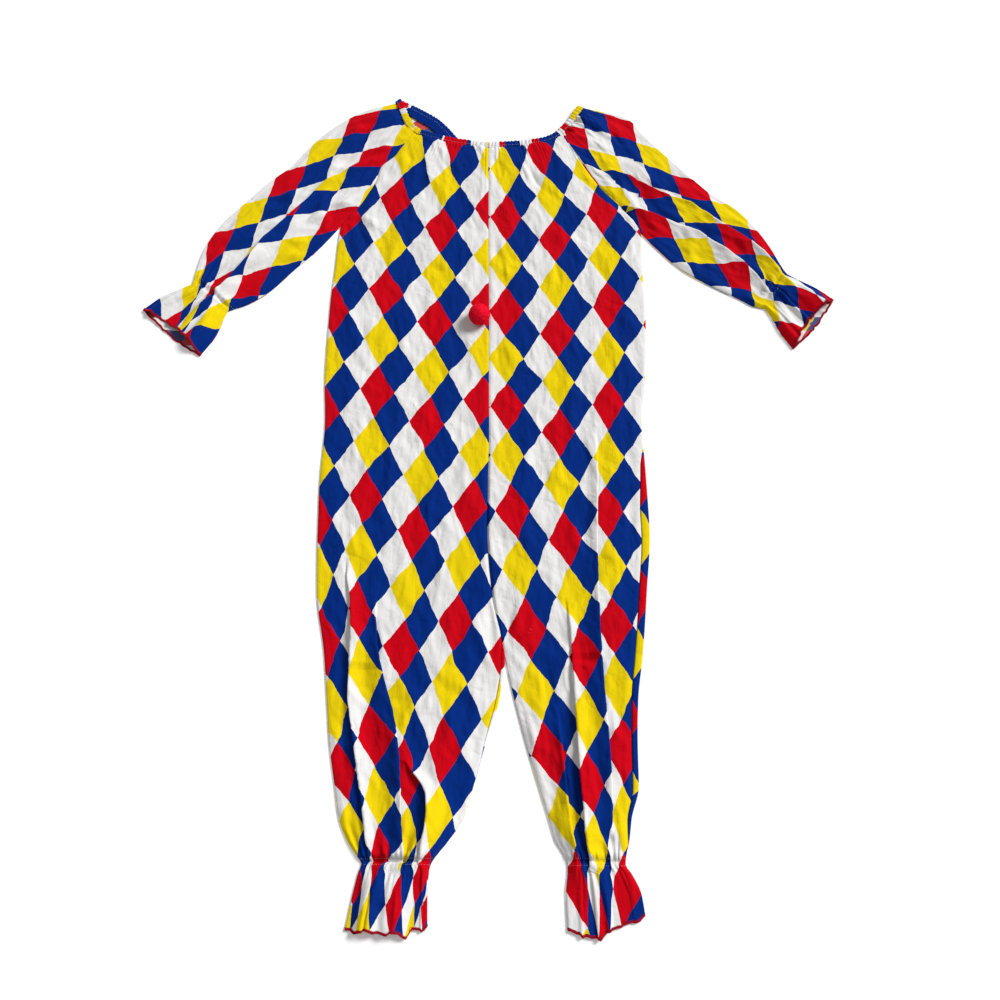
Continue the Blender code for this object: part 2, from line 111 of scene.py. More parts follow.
FRONT_LEFT_EDGES: Points = (
    (86, 414.5, -0.5, 396), (106, 385.5, -0.5, 369.5), (117, 366.5, 0, 354), (128.5, 348, 0, 338.5),
    (161, 309, 0, 306), (175.5, 283, 0, 285.5), (175, 234.5, 0.5, 234.5), (176, 179.5, 1, 179.5),
    (172.5, 106, 1, 106), (166, 33, 1.5, 33), (167.5, -25, 0.5, -25), (168.5, -81.5, 0, -81.5),
    (162.5, -149, 5, -149), (155.5, -215, 18, -217), (149, -260, 27.5, -260), (146.5, -307, 39.5, -307),
    (146, -343.5, 50, -343.5), (138, -373.5, 59, -373.5), (135, -393.5, 65, -393.5),
    (131.5, -408, 73.5, -408), (130.5, -416, 76.5, -416), (135.5, -423.5, 76.5, -423.5),
    (144, -441, 74.5, -441), (147, -460.5, 75.5, -474),
)
HEM_DIPS_RIGHT: Points = (
    (0, 0), (0.13, 4.6), (0.26, 2), (0.51, 8), (0.6, 4), (0.75, 9), (0.82, 2), (0.97, 4), (1, 0),
)
HEM_DIPS_LEFT: Points = (
    (0, 0), (0.12, 6), (0.3, 11.5), (0.42, 13.5), (0.57, 7), (0.75, 6), (0.93, 4), (1, 0),
)

# The back raglan seams, a point at each section from the neck edge to the armpit: x, y.
BACK_RAGLAN_RIGHT: Points = (
    (-72, 436), (-105.5, 388.5), (-125, 370.5), (-130, 354), (-151, 318), (-170.5, 291),
)
BACK_RAGLAN_LEFT: Points = (
    (91, 417.5), (107.5, 382.5), (117, 365.5), (128.5, 347), (160.5, 307.5), (175.5, 282),
)

# The cloth at each section of a sleeve, from the neck edge to the hem: distance between rows, gather, ruffle.
# Down to the armpit the seam is the front's raglan seam, and SHOULDER has the fold's x and y; below it ARM
# has seam x, seam y, fold x, fold y.
SLEEVE_CLOTH: Points = (
    (1.6, 0, 0), (2.2, 0, 0), (2.4, 0, 0), (2.8, 0, 0), (2.8, 0, 0), (2.8, 0, 0), (2.8, 0, 0), (2.8, 0, 0),
    (2.2, 0, 0), (1.8, 0.35, 0), (1.5, 1, 0), (1.5, 1, 0), (1.6, 0.6, 0.4), (1.8, 0.1, 0.9), (1.8, 0, 1),
)
SHOULDER_RIGHT: Points = (
    (-116, 466.5), (-148.5, 456.5), (-171, 443), (-189.5, 428.5), (-217.5, 397), (-232.5, 376),
)
ARM_RIGHT: Points = (
    (-194, 261, -255, 355.5), (-219, 234.5, -282, 325.5), (-248.5, 202.5, -311.5, 289),
    (-271, 187.5, -327, 254.5), (-284, 182, -332, 229), (-291, 178.5, -334.5, 215), (-295, 169, -343, 210),
    (-302, 147.5, -364.5, 199), (-317.5, 122, -386.5, 180.5),
)
SHOULDER_LEFT: Points = (
    (117, 459.5), (149.5, 451.5), (168.5, 443), (182, 424), (217, 382), (235, 362.5),
)
ARM_LEFT: Points = (
    (195.5, 258.5, 260, 336), (218, 234.5, 286.5, 315.5), (256.5, 209, 310, 285.5),
    (284.5, 193.5, 324.5, 258.5), (298.5, 185, 332.5, 239), (309.5, 182, 339, 227.5),
    (316.5, 171.5, 350, 220.5), (325.5, 150, 371.5, 207.5), (337.5, 131, 388, 193.5),
)

# The upper edge of the neck casing, from the right shoulder peak to the left one: x, y.
NECK_FRONT_EDGE: Points = (
    (-107, 474), (-99, 456), (-93.5, 439.5), (-85, 429), (-62, 420.5), (-40.5, 414.5), (-1, 408.5),
    (37, 411), (67, 416), (81.5, 424.5), (95, 442.5), (106.5, 463.5),
)
NECK_BACK_EDGE: Points = (
    (-107, 474), (-82, 460.5), (-60, 445.5), (-46.5, 430.5), (-35.5, 414.5), (-1, 403), (49, 404),
    (69.5, 417.5), (83, 430.5), (96.5, 447), (106.5, 463.5),
)


def with_cloth(edges: Points, cloth: Points) -> Points:
    """A table of sections: the edges' numbers, then the cloth's."""
    return tuple((*edge, *rest) for edge, rest in zip(edges, cloth))


def over_arm(front: Points, shoulder: Points, arm: Points) -> Points:
    """A sleeve's table, its seam being the front's raglan seam down to the armpit."""
    edges = [(*row[:2], *fold) for row, fold in zip(front, shoulder)]
    return with_cloth([*edges, *arm], SLEEVE_CLOTH)


FRONT_RIGHT_SECTIONS = with_cloth(FRONT_RIGHT_EDGES, PANEL_CLOTH)
FRONT_LEFT_SECTIONS = with_cloth(FRONT_LEFT_EDGES, PANEL_CLOTH)
SLEEVE_RIGHT_SECTIONS = over_arm(FRONT_RIGHT_EDGES, SHOULDER_RIGHT, ARM_RIGHT)
SLEEVE_LEFT_SECTIONS = over_arm(FRONT_LEFT_EDGES, SHOULDER_LEFT, ARM_LEFT)


@dataclass(frozen=True)
class PrintColumn:
    """One column of printed diamonds.

    Args:
        across: its number across the cloth, in half diamonds.
        centres: the diamonds' centres, as number along the cloth, x, y.
    """

    across: float
    centres: Points


def print_columns(*columns: tuple[float, Points]) -> list[PrintColumn]:
    """Columns of diamonds, each from its number across and its centres."""
    return [PrintColumn(*column) for column in columns]


# The diamonds follow the cloth as it lies, so each panel has its own columns.
FRONT_RIGHT_PRINT = print_columns(
    (-2, (
        (-14, -160, 367), (-10, -171, 245), (-6, -175.5, 117), (-2, -181, -8), (2, -171.5, -130.8),
        (4, -162.5, -200.4), (6, -151.5, -272), (8, -137.5, -331.6), (10, -124, -383.4), (12, -118, -434),
        (14, -128.5, -469),
    )),
    (1, (
        (-15, -91.7, 392.9), (-13, -109.4, 328.7), (-9, -115.5, 202.6), (-5, -120.8, 77.4),
        (-1, -128.7, -46.3), (3, -134.7, -167.9), (5, -122.8, -233.1), (7, -110.4, -295.7),
        (9, -104.8, -355.5), (11, -98.8, -405.8), (13, -112.5, -466),
    )),
    (4, (
        (-16, -38.8, 406.3), (-14, -52.5, 345.6), (-10, -56, 225), (-6, -60.3, 102), (-2, -69.3, -23.4),
        (2, -81.6, -147.7), (4, -85.7, -210.6), (6, -86.4, -264.2), (8, -77.4, -330), (10, -75, -395.3),
        (12, -82.8, -451.6),
    )),
    (7, (
        (-15, 4, 378.2), (-11, 3, 249), (-7, -3, 127), (-3, -10.5, 4.4), (1, -25.8, -118.6),
        (5, -39.2, -245.2), (7, -43.9, -311.2), (9, -46, -375), (11, -62.1, -431.3), (13, -69, -470),
    )),
    (10, (
        (-14, 61, 364), (-10, 58, 218), (-6, 53, 96), (-2, 41, -27), (2, 25, -150), (6, 15, -278),
        (8, 11, -342), (10, -12, -403), (12, -57.5, -450), (14, -59, -490),
    )),
)
FRONT_LEFT_PRINT = print_columns(
    (1, (
        (-13, 12, 423), (-11, 21.5, 366.5), (-7, 20.1, 239.7), (-3, 19.9, 118.1), (1, 21.8, 0.9),
        (5, 33.8, -125.1), (9, 48.8, -252.2), (11, 62.7, -314.1), (13, 77.6, -373), (15, 87.5, -433),
    )),
    (4, (
        (-12, 59.6, 388.6), (-10, 72.9, 330.1), (-8, 76.6, 273.4), (-4, 77.8, 148.4), (0, 76.7, 29.2),
        (4, 80.7, -92.3), (8, 95.2, -217.8), (12, 96.7, -344.6), (14, 103.6, -398.9), (16, 106.1, -467.3),
    )),
    (7, (
        (-11, 116, 368.1), (-9, 130.7, 309.2), (-5, 134.8, 186.9), (-1, 129.4, 61.6), (3, 123.2, -62.2),
        (7, 126.3, -184.7), (11, 132.5, -310.2), (13, 128.9, -375.1), (15, 126.6, -435.7),
    )),
)
SLEEVE_RIGHT_PRINT = print_columns(
    (7, (
        (-1, -72.5, 371.3), (1, -125.7, 335.9), (3, -174.9, 302.1), (5, -225.1, 258.8), (7, -269.2, 214.3),
        (9, -307.9, 171.9),
    )),
    (1, (
        (-1, -152.5, 435), (1, -194.5, 398.8), (3, -235.9, 353.4), (5, -275.9, 307.9), (7, -310.8, 266.4),
        (9, -332.6, 204.6),
    )),
)
SLEEVE_LEFT_PRINT = print_columns(
    (7, (
        (5, 150, 330), (3, 190.3, 292), (1, 237.3, 257), (-1, 284.8, 226.1), (-3, 310.8, 184.5),
    )),
    (4, (
        (8, 100.9, 415.8), (6, 134.5, 378.7), (4, 185.6, 342.6), (2, 237.8, 314.6), (0, 285.8, 271),
        (-2, 323.2, 230.2), (-4, 369.9, 185.7),
    )),
    (1, (
        (7, 158, 429.8), (5, 194.7, 387.4), (3, 235.4, 341.2), (1, 282.9, 307.1), (-1, 317.7, 267.9),
    )),
)


class Lean(Enum):
    """Which way a fold's crest hangs over, along its row."""

    TO_START = -1
    TO_END = 1


@dataclass(frozen=True)
class Fold:
    """A fold that runs down a panel.

    Args:
        crest: points down the crest, as x, y, width of cloth hidden, height; a trough's height is negative.
        lean: which way the crest hangs over.
        slope: the steepest angle of the gentle side, in degrees.
        softness: how far the bends are rounded, in millimetres.
    """

    crest: Points
    lean: Lean
    slope: float = 24.0
    softness: float = 1.1


@dataclass(frozen=True)
class Crease:
    """A soft ridge or trough on a panel, between two points in plan.

    Args:
        start: where it starts, as x, y.
        end: where it ends.
        width: its width.
        height: its height, negative for a trough.
        bow: how far its middle bends aside.
    """

    start: tuple[float, float]
    end: tuple[float, float]
    width: float
    height: float
    bow: float = 0.0


def creases_of(rows: Points) -> list[Crease]:
    """Creases from a table of start x, start y, end x, end y, width, height and bow."""
    return [Crease(row[:2], row[2:4], *row[4:]) for row in rows]


FRONT_RIGHT_CREASES = creases_of((
    (-162, 310, -133, 245, 5.2, -2.2, 2), (-134, 316, -168, 311, 6, -1.2, 1),
    (-168, 312, -146, 300, 4.2, 2.4), (-159, 320, -109, 277, 7.1, 2.3, -3),
    (-165, 299, -155, 234, 5.2, -1.7), (-122, 364, -148, 322, 6.3, 2.2, 1),
    (-103, 341, -90, 294, 4.6, -2.5, 1), (-77, 401, -68, 347, 5.2, 1.7), (-58, 390, -38, 350, 5, -1.6),
    (-90, 275, -60, 271, 5, -1.7, 2), (-69, 237, -36, 229, 4.6, -2, -2), (-30, 222, -4, 242, 5.2, 1.7),
    (-24, 309, -5, 275, 5.2, -1.4), (-131, 205, -101, 174, 5.7, -1.6, 2), (-64, 128, -40, 146, 5.2, 1.4),
    (-57, 116, -45, 75, 5, -1.7, 1), (-136, 64, -124, 14, 6.1, -1.6), (-103, 31, -108, -70, 7.6, 2.2, 2),
    (-145, 7, -151, -93, 7.6, -2, -2), (-74, -14, -87, -136, 8.2, -1.7, 3),
    (-43, -70, -57, -199, 8.2, 2, 2), (9, -215, 0, -147, 5.7, -2.5), (6, -228, -17, -158, 7.1, 2, 3),
    (-9, -199, -24, -280, 7.1, -1.7), (-31, -250, -41, -328, 7.1, 1.7), (-144, -260, -133, -347, 5.2, -2),
))
FRONT_LEFT_CREASES = creases_of((
    (45, 378, 65, 338, 5.2, -3.9, -2), (35, 384, 50, 350, 5.2, 2.3), (13, 390, 17, 347, 4.6, -1.7),
    (20, 246, 4, 260, 4.2, -1.7), (20, 246, 41, 241, 4.2, -1.7), (20, 246, 23, 211, 4.6, 1.7),
    (59, 284, 97, 298, 5, -2.3, 1), (74, 245, 84, 208, 5, -2.2), (176, 279, 161, 237, 5.2, -2.2),
    (172, 310, 135, 267, 6.5, 2.3, 2), (161, 324, 131, 291, 5.7, -2, 1), (134, 401, 163, 327, 6.5, 1.7, -2),
    (118, 245, 142, 195, 5.7, -1.6, 2), (80, 151, 107, 103, 6.1, 1.7, 2), (35, 128, 56, 156, 5.2, -1.6),
    (13, 103, 26, 60, 5.2, -1.6), (136, 156, 145, 69, 6.5, 1.7), (65, 31, 55, -59, 7.6, -2, 2),
    (95, 69, 85, -14, 7.1, 1.7), (35, -14, 42, -115, 8.2, 2, -2), (18, -216, 28, -158, 5.7, -2.5),
    (21, -224, 54, -168, 7.1, 2, -3), (48, -199, 64, -280, 7.1, -1.7), (33, -250, 52, -328, 6.5, 1.7),
    (153, -14, 145, -115, 6.1, -1.7), (68, -299, 76, -366, 5.2, -2),
))
SLEEVE_RIGHT_CREASES = creases_of((
    (-168, 317, -192, 277, 5.2, -3.1), (-147, 313, -196, 309, 7, -4.8, 1),
    (-190, 320, -148, 321, 6, 3.4, 1), (-175, 313, -218, 297, 5.7, 2.3, 2), (-184, 299, -220, 258, 6.1, -2),
    (-224, 387, -183, 416, 6.1, 1.7, 2), (-270, 336, -239, 364, 5.7, -1.7),
    (-300, 280, -277, 310, 5.2, 1.6), (-258, 245, -285, 213, 5.7, -2), (-136, 434, -162, 393, 5.2, -2),
    (-109, 416, -138, 387, 5.2, 1.7),
))
SLEEVE_LEFT_CREASES = creases_of((
    (176, 282, 191, 267, 5.2, -2.8), (176, 308, 207, 275, 5.7, 2.2, -2), (183, 322, 233, 286, 6.1, -2, -2),
    (209, 401, 249, 364, 6.1, 1.7, -2), (261, 336, 296, 299, 5.7, -1.7, -2), (242, 245, 272, 218, 5.7, 1.7),
    (140, 431, 165, 393, 5.2, -2), (121, 416, 144, 387, 5, 1.7), (293, 261, 315, 226, 5.2, -2),
))
FRONT_RIGHT_FOLDS = (
    Fold((
        (-144.5, -112, 0, 0), (-144.2, -136.2, 5, 2), (-139, -158, 10, 3), (-137.1, -199.4, 13, 3.4),
        (-137.2, -260.2, 13, 3.6), (-125, -327, 11, 3.8), (-112.9, -393.5, 8, 4), (-106, -420, 0, 0),
    ), Lean.TO_START),
    Fold((
        (-113, -150, 0, 0), (-112, -172, 5, 1.6), (-109.5, -206, 14, 2.6), (-101.5, -240, 24, 3.2),
        (-92.5, -268, 35, 3.6), (-88.5, -284, 36, 4.4), (-82, -325, 30, 5), (-80, -356, 24, 4.6),
        (-79, -385, 18, 4.2), (-78.5, -402.6, 10, 3.4), (-77, -425, 0, 0),
    ), Lean.TO_END, slope=20.0),
    Fold((
        (-79, -320, 0, 0), (-76.5, -327, 5, 2.4), (-70.3, -334, 13, 4.8), (-63, -342.5, 20, 6),
        (-58.8, -352, 24, 6.6), (-57.5, -367.7, 24, 6.6), (-58.5, -384.3, 20, 6), (-61, -398, 12, 4.6),
        (-62, -411, 5, 2.6), (-60, -424, 0, 0),
    ), Lean.TO_START, slope=30.0),
)
FRONT_LEFT_FOLDS = (
    Fold((
        (116.5, 40, 0, 0), (117.4, 4, 4, 1.6), (117.9, -26.3, 6.5, 2.4), (115.9, -62, 9, 2.8),
        (114.6, -112, 17, 3.2), (114.2, -185, 23, 3.4), (116.5, -249, 22, 3.4), (119.5, -310, 21, 3.4),
        (121, -352, 14, 3), (119, -392, 0, 0),
    ), Lean.TO_END, slope=18.0),
    Fold((
        (80, -150, 0, 0), (84, -199.4, 6, 2), (85.5, -250, 9, 2.8), (86.5, -292, 15, 4.2),
        (88, -330, 23, 5.6), (91.5, -377, 27, 6), (93.5, -402.6, 16, 4.6), (95, -424, 0, 0),
    ), Lean.TO_START, slope=26.0),
    Fold((
        (70, -262, 0, 0), (72.5, -290, 3, 2.4), (76, -330, 6, 4), (80.5, -377, 8, 4.4),
        (84, -402.6, 5, 3.2), (86, -424, 0, 0),
    ), Lean.TO_END, slope=30.0),
)
SLEEVE_RIGHT_FOLDS = (
    Fold((
        (-132, 392, 0, 0), (-159.3, 374.4, 7, 2), (-192.2, 351, 14, 2.8), (-219.5, 317.3, 22, 3.4),
        (-233.5, 300.7, 27, 3.8), (-259.2, 272, 31, 4.4), (-273.3, 246.3, 27, 4.6), (-288, 226, 18, 4.2),
        (-300, 205, 9, 3.6), (-311, 186, 3, 2), (-322, 168, 0, 0),
    ), Lean.TO_END, slope=18.0),
)
SLEEVE_LEFT_FOLDS = (
    Fold((
        (140, 372, 0, 0), (166.3, 358.1, 9, 2.2), (200.5, 336.9, 14, 2.8), (234.8, 322.9, 20, 3.2),
        (262.4, 299.3, 25, 3.4), (295.2, 274.7, 30, 3.6), (314, 256, 26, 3.6), (326, 238, 16, 3.2),
        (337, 222, 8, 2.2), (350, 205, 0, 0),
    ), Lean.TO_END, slope=18.0),
    Fold((
        (132, 336, 0, 0), (150, 322, 9, 2), (190, 308, 17, 2.8), (243.9, 281.5, 22, 3.2),
        (287.3, 245, 20, 3.4), (308, 220, 12, 3), (322, 201, 5, 2), (332, 186, 0, 0),
    ), Lean.TO_END, slope=18.0),
)


def smooth_step(value: float | Array) -> Array:
    """0 to 1 with level ends."""
    held = np.clip(value, 0.0, 1.0)
    return held * held * (3.0 - 2.0 * held)


def eased(stations: Array, values: Array, wanted: Array) -> Array:
    """Values between stations along cubic curves that never overshoot.

    Args:
        stations: rising distances, one for each row of values.
        values: the numbers there, one column for each quantity.
        wanted: distances at which the numbers are wanted.

    Returns:
        One row of numbers for each wanted distance.
    """
    step = np.diff(stations)
    rise = np.diff(values, axis=0) / step[:, None]
    slope = np.zeros_like(values)
    slope[0], slope[-1] = rise[0], rise[-1]
    before = (2.0 * step[1:] + step[:-1])[:, None]
    after = (step[1:] + 2.0 * step[:-1])[:, None]
    same_way = rise[:-1] * rise[1:] > 0.0
    safe_low = np.where(same_way, rise[:-1], 1.0)
    safe_high = np.where(same_way, rise[1:], 1.0)
    slope[1:-1] = np.where(same_way, (before + after) / (before / safe_low + after / safe_high), 0.0)
    index = np.clip(np.searchsorted(stations, wanted, side="right") - 1, 0, len(step) - 1)
    gap = step[index][:, None]
    share = (wanted - stations[index])[:, None] / gap
    low, high = values[index], values[index + 1]
    square, cube = share**2, share**3
    return (
        (2.0 * cube - 3.0 * square + 1.0) * low
        + (cube - 2.0 * square + share) * gap * slope[index]
        + (3.0 * square - 2.0 * cube) * high
        + (cube - square) * gap * slope[index + 1]
    )


def travel(points: Array) -> Array:
    """How far each point is along the line through all of them."""
    return np.concatenate([[0.0], np.cumsum(np.linalg.norm(np.diff(points, axis=0), axis=1))])


def unit(vectors: Array) -> Array:
    """A row of unit vectors for a row of vectors."""
    return vectors / np.maximum(np.linalg.norm(vectors, axis=1), 1e-9)[:, None]


def lerped(wanted: Array | float, stations: Array, values: Array) -> Array:
    """Each column of some values, between their stations along straight lines."""
    return np.column_stack([np.interp(wanted, stations, column) for column in values.T])


def section_rows(sections: Points) -> tuple[Array, Array]:
    """The sections' numbers with many rows between them.

    Args:
        sections: the table; its first four numbers are the row's ends, its fifth the distance between rows.

    Returns:
        The rows, and each row's number among the sections as a fraction.
    """
    table = np.array(sections, dtype=float)
    travelled = travel((table[:, 0:2] + table[:, 2:4]) / 2.0)
    wanted, numbers = [], []
    for first in range(len(table) - 1):
        length = travelled[first + 1] - travelled[first]
        count = max(2, math.ceil(length / table[first, 4]))
        shares = np.arange(count) / count
        wanted.extend(travelled[first] + length * shares)
        numbers.extend(first + shares)
    wanted.append(travelled[-1])
    numbers.append(float(len(table) - 1))
    return eased(travelled, table, np.array(wanted)), np.array(numbers)


@dataclass(frozen=True)
class Row:
    """One straight row across a panel, in plan."""

    start: Array
    end: Array

    @property
    def width(self) -> float:
        """The row's length."""
        return float(np.linalg.norm(self.end - self.start))

    @property
    def along(self) -> Array:
        """The row's direction."""
        return (self.end - self.start) / self.width

    def crossing(self, points: Array, extend: bool) -> tuple[float, Array] | None:
        """Where a bent line crosses this row.

        Args:
            points: the line, as x, y and any other numbers.
            extend: whether the line's ends run on straight.

        Returns:
            The distance along the row and the line's numbers there, or None.
        """
        along = self.along
        offsets = points[:, :2] - self.start
        side = offsets @ np.array([-along[1], along[0]])
        for first in range(len(points) - 1):
            if side[first] * side[first + 1] <= 0.0 and side[first] != side[first + 1]:
                break
        else:
            if not extend:
                return None
            first = 0 if abs(side[0]) < abs(side[-1]) else len(points) - 2
        mix = side[first] / (side[first] - side[first + 1])
        found = points[first] + (points[first + 1] - points[first]) * mix
        return float((found[:2] - self.start) @ along), found[2:]


@dataclass(frozen=True)
class FoldCut:
    """A fold where one row crosses it."""

    place: float
    hidden: float
    height: float
    fold: Fold


def cuts_of(row: Row, folds: Sequence[Fold]) -> list[FoldCut]:
    """The folds that a row crosses, in order along it."""
    cuts = []
    for fold in folds:
        found = row.crossing(np.array(fold.crest, dtype=float), extend=False)
        if found is None:
            continue
        place, (hidden, height) = found
        if hidden > 0.2 and abs(height) > 0.05:
            cuts.append(FoldCut(place, hidden, height, fold))
    return sorted(cuts, key=lambda cut: cut.place)


def running_sum(values: Array, step: float) -> Array:
    """The integral of evenly spaced values, from 0."""
    return np.concatenate([[0.0], np.cumsum((values[1:] + values[:-1]) * 0.5 * step)])


def blurred(values: Array, reach: float) -> Array:
    """Values smoothed by a bell of the given reach, in samples."""
    half = max(1, math.ceil(3.0 * reach))
    bell = np.exp(-0.5 * (np.arange(-half, half + 1) / max(reach, 0.2)) ** 2)
    return np.convolve(np.pad(values, half, mode="edge"), bell / bell.sum(), mode="valid")


@dataclass
class FoldedRow:
    """Cloth along one row: cut distance, distance in plan and relief at each column."""

    cut: Array
    plan: Array
    relief: Array
    share: Array


def folded_row(width: float, cuts: Sequence[FoldCut], slopes: "Gathers", row: int, columns: int) -> FoldedRow:
    """Lays the cloth of one row into its folds and gathers.

    Args:
        width: the row's width in plan.
        cuts: the folds across it.
        slopes: the gathers, which add small slopes.
        row: the row's number.
        columns: how many steps the row is cut into.

    Returns:
        The row, with its columns closest together where the cloth bends.
    """
    total = width + sum(cut.hidden for cut in cuts)
    cut_place = np.linspace(0.0, total, FINE_STEPS)
    step = total / (FINE_STEPS - 1)
    angle = np.zeros(FINE_STEPS)
    weight = 1.0 + 1.6 * np.exp(-cut_place / 2.0) + 1.6 * np.exp(-(total - cut_place) / 2.0)
    level = np.ones(FINE_STEPS, dtype=bool)
    calm = np.ones(FINE_STEPS)
    passed = 0.0
    for cut in cuts:
        size = abs(cut.height)
        room = math.asin(min(1.0, size / (0.5 * cut.hidden + 5.0)))
        gentle = min(math.radians(cut.fold.slope), 2.0 * math.atan2(cut.hidden / 2.0, size), room)
        gentle_hidden = size * math.tan(gentle / 2.0)
        steep_hidden = cut.hidden - gentle_hidden
        steep = 2.0 * math.atan2(steep_hidden, size)
        gentle_length = size / math.sin(gentle)
        steep_length = (steep_hidden**2 + size**2) / (2.0 * steep_hidden)
        sign = math.copysign(1.0, cut.height)
        to_end = cut.fold.lean is Lean.TO_END
        crest = cut.place + passed + (gentle_hidden if to_end else steep_hidden)
        sides = (gentle_length, gentle), (steep_length, steep)
        (before, before_angle), (after, after_angle) = sides if to_end else sides[::-1]
        rising = (cut_place >= crest - before) & (cut_place < crest)
        falling = (cut_place >= crest) & (cut_place < crest + after)
        bend = np.where(rising, before_angle, 0.0) + np.where(falling, -after_angle, 0.0)
        angle += sign * blurred(bend, cut.fold.softness / step)
        margin = 3.0 * cut.fold.softness
        level &= (cut_place < crest - before - margin) | (cut_place > crest + after + margin)
        outside = np.maximum(crest - before - cut_place, cut_place - crest - after)
        calm *= 1.0 - 0.92 * min(1.0, cut.hidden / 3.0) * (1.0 - smooth_step(outside / 5.0))
        strength = 2.6 * min(1.0, size / 2.0)
        for bend_place in (crest, crest + after if to_end else crest - before):
            weight += strength * np.exp(-(((cut_place - bend_place) / 3.2) ** 2))
        passed += cut.hidden
    level[0] = level[-1] = True
    fold_relief = running_sum(np.sin(angle), step)
    fold_relief -= np.interp(cut_place, cut_place[level], fold_relief[level])
    share = cut_place / total
    small = slopes.angles(share, row) * calm
    plan = running_sum(np.cos(angle + small), step)
    plan *= width / plan[-1]
    small_relief = running_sum(np.sin(small), step)
    small_relief -= share * small_relief[-1]
    spent = running_sum(weight, 1.0)
    wanted = np.interp(np.linspace(0.0, spent[-1], columns + 1), spent, cut_place)
    relief = fold_relief + small_relief
    sampled = [np.interp(wanted, cut_place, values) for values in (cut_place, plan, relief, share)]
    return FoldedRow(*sampled)


@dataclass
class Gathers:
    """Small folds that run down a panel: those of a neck or cuff elastic, and those of a ruffle.

    Args:
        neck_count: gathers across the neck edge.
        neck_reach: how far the longest run down, in millimetres.
        cuff_count: gathers across the cuff's elastic.
        ruffle_count: folds across the ruffle below it.
        seed: a fixed seed for their unevenness.
    """

    neck_count: int
    neck_reach: float
    cuff_count: int
    ruffle_count: int
    seed: int
    neck_slope: float = 1.25
    cuff_slope: float = 1.32
    neck_strength: Array = field(init=False)
    neck_depth: Array = field(init=False)
    cuff_strength: Array = field(init=False)
    ruffle_strength: Array = field(init=False)

    def __post_init__(self) -> None:
        """Draws the unevenness once."""
        draw = np.random.default_rng(self.seed)
        self._phases = draw.uniform(0.0, TURN, 16)
        self._uneven = draw.uniform(0.4, 1.0, 60)

    def spread(self, rows: Array, fade: tuple[float, float], hold: tuple[float, float] = (1.0, 1.0)) -> None:
        """Sets the strength of the gathers at each row.

        Args:
            rows: the rows; their last two numbers are the gather and the ruffle.
            fade: where the neck's gathers start to fade, and over what distance.
            hold: what share of the gather and of the ruffle this cloth takes up.
        """
        self.neck_depth = travel((rows[:, 0:2] + rows[:, 2:4]) / 2.0)
        self.neck_strength = 1.0 - smooth_step((self.neck_depth - fade[0]) / fade[1])
        self.cuff_strength = np.clip(rows[:, -2], 0.0, 1.0) * hold[0]
        self.ruffle_strength = np.clip(rows[:, -1], 0.0, 1.0) * hold[1]

    def _wander(self, share: Array, first: int) -> Array:
        """A slow unevenness across the cloth, about 1 either way."""
        waves = zip((1.0, 0.7, 0.5), (1.3, 3.1, 5.7), self._phases[first : first + 3])
        return sum(size * np.sin(TURN * rate * share + phase) for size, rate, phase in waves) / 1.6

    def _ruffle_turns(self, share: Array) -> Array:
        """The ruffle's folds counted across the cloth."""
        return self.ruffle_count * share + 0.42 * self._wander(share, 9)

    def _cuff_turns(self, share: Array) -> Array:
        """The cuff's gathers counted across the cloth."""
        return self.cuff_count * share + 0.5 * self._wander(share, 3)

    def angles(self, share: Array, row: int) -> Array:
        """The gathers' slope angles across one row.

        Args:
            share: places across the cloth, 0 to 1.
            row: the row's number.

        Returns:
            One angle for each place, in radians.
        """
        total = np.zeros_like(share)
        neck = self.neck_strength[row]
        if neck > 0.003 and self.neck_count:
            turns = self.neck_count * share + 0.42 * self._wander(share, 0)
            reach = np.interp(np.mod(turns, 59.0), np.arange(60), self._uneven)
            depth = self.neck_depth[row] / (self.neck_reach * reach**2.4)
            strength = 0.55 + 0.45 * reach
            total += self.neck_slope * neck * strength * np.exp(-(depth**1.2)) * np.sin(TURN * turns)
        cuff = self.cuff_strength[row]
        if cuff > 0.003:
            turns = self._cuff_turns(share)
            uneven = 0.75 + 0.25 * self._wander(share, 6)
            total += self.cuff_slope * cuff * uneven * np.sin(TURN * turns)
            total += 0.6 * cuff**4 * np.sin(TURN * 2.7 * turns + self._phases[5])
        ruffle = self.ruffle_strength[row]
        if ruffle > 0.003:
            uneven = 0.8 + 0.3 * self._wander(share, 12)
            total += ruffle * uneven * np.sin(TURN * self._ruffle_turns(share))
        return total * smooth_step(np.minimum(share, 1.0 - share) / 0.02)

    def puffs(self, share: Array, distance: float) -> Array:
        """The height that an elastic adds at a distance past its line: uneven puffs, then a groove."""
        uneven = 0.6 + 0.4 * np.sin(TURN * self._cuff_turns(share) + 0.8) + 0.3 * self._wander(share, 9)
        above, below, groove = (
            size * math.exp(-(((distance - place) / reach) ** 2))
            for size, place, reach in ((3.0, -6.0, 3.4), (0.7, 5.0, 2.6), (2.6, 0.0, 2.0))
        )
        return (above + below) * uneven - groove

    def sway(self, share: Array, row: int) -> Array:
        """How far a ruffle's edge dips between its folds, from -1 to 1."""
        wave = np.sin(TURN * self._ruffle_turns(share) + 0.9) * (0.7 + 0.4 * self._wander(share, 6))
        return float(self.ruffle_strength[row]) ** 2 * wave


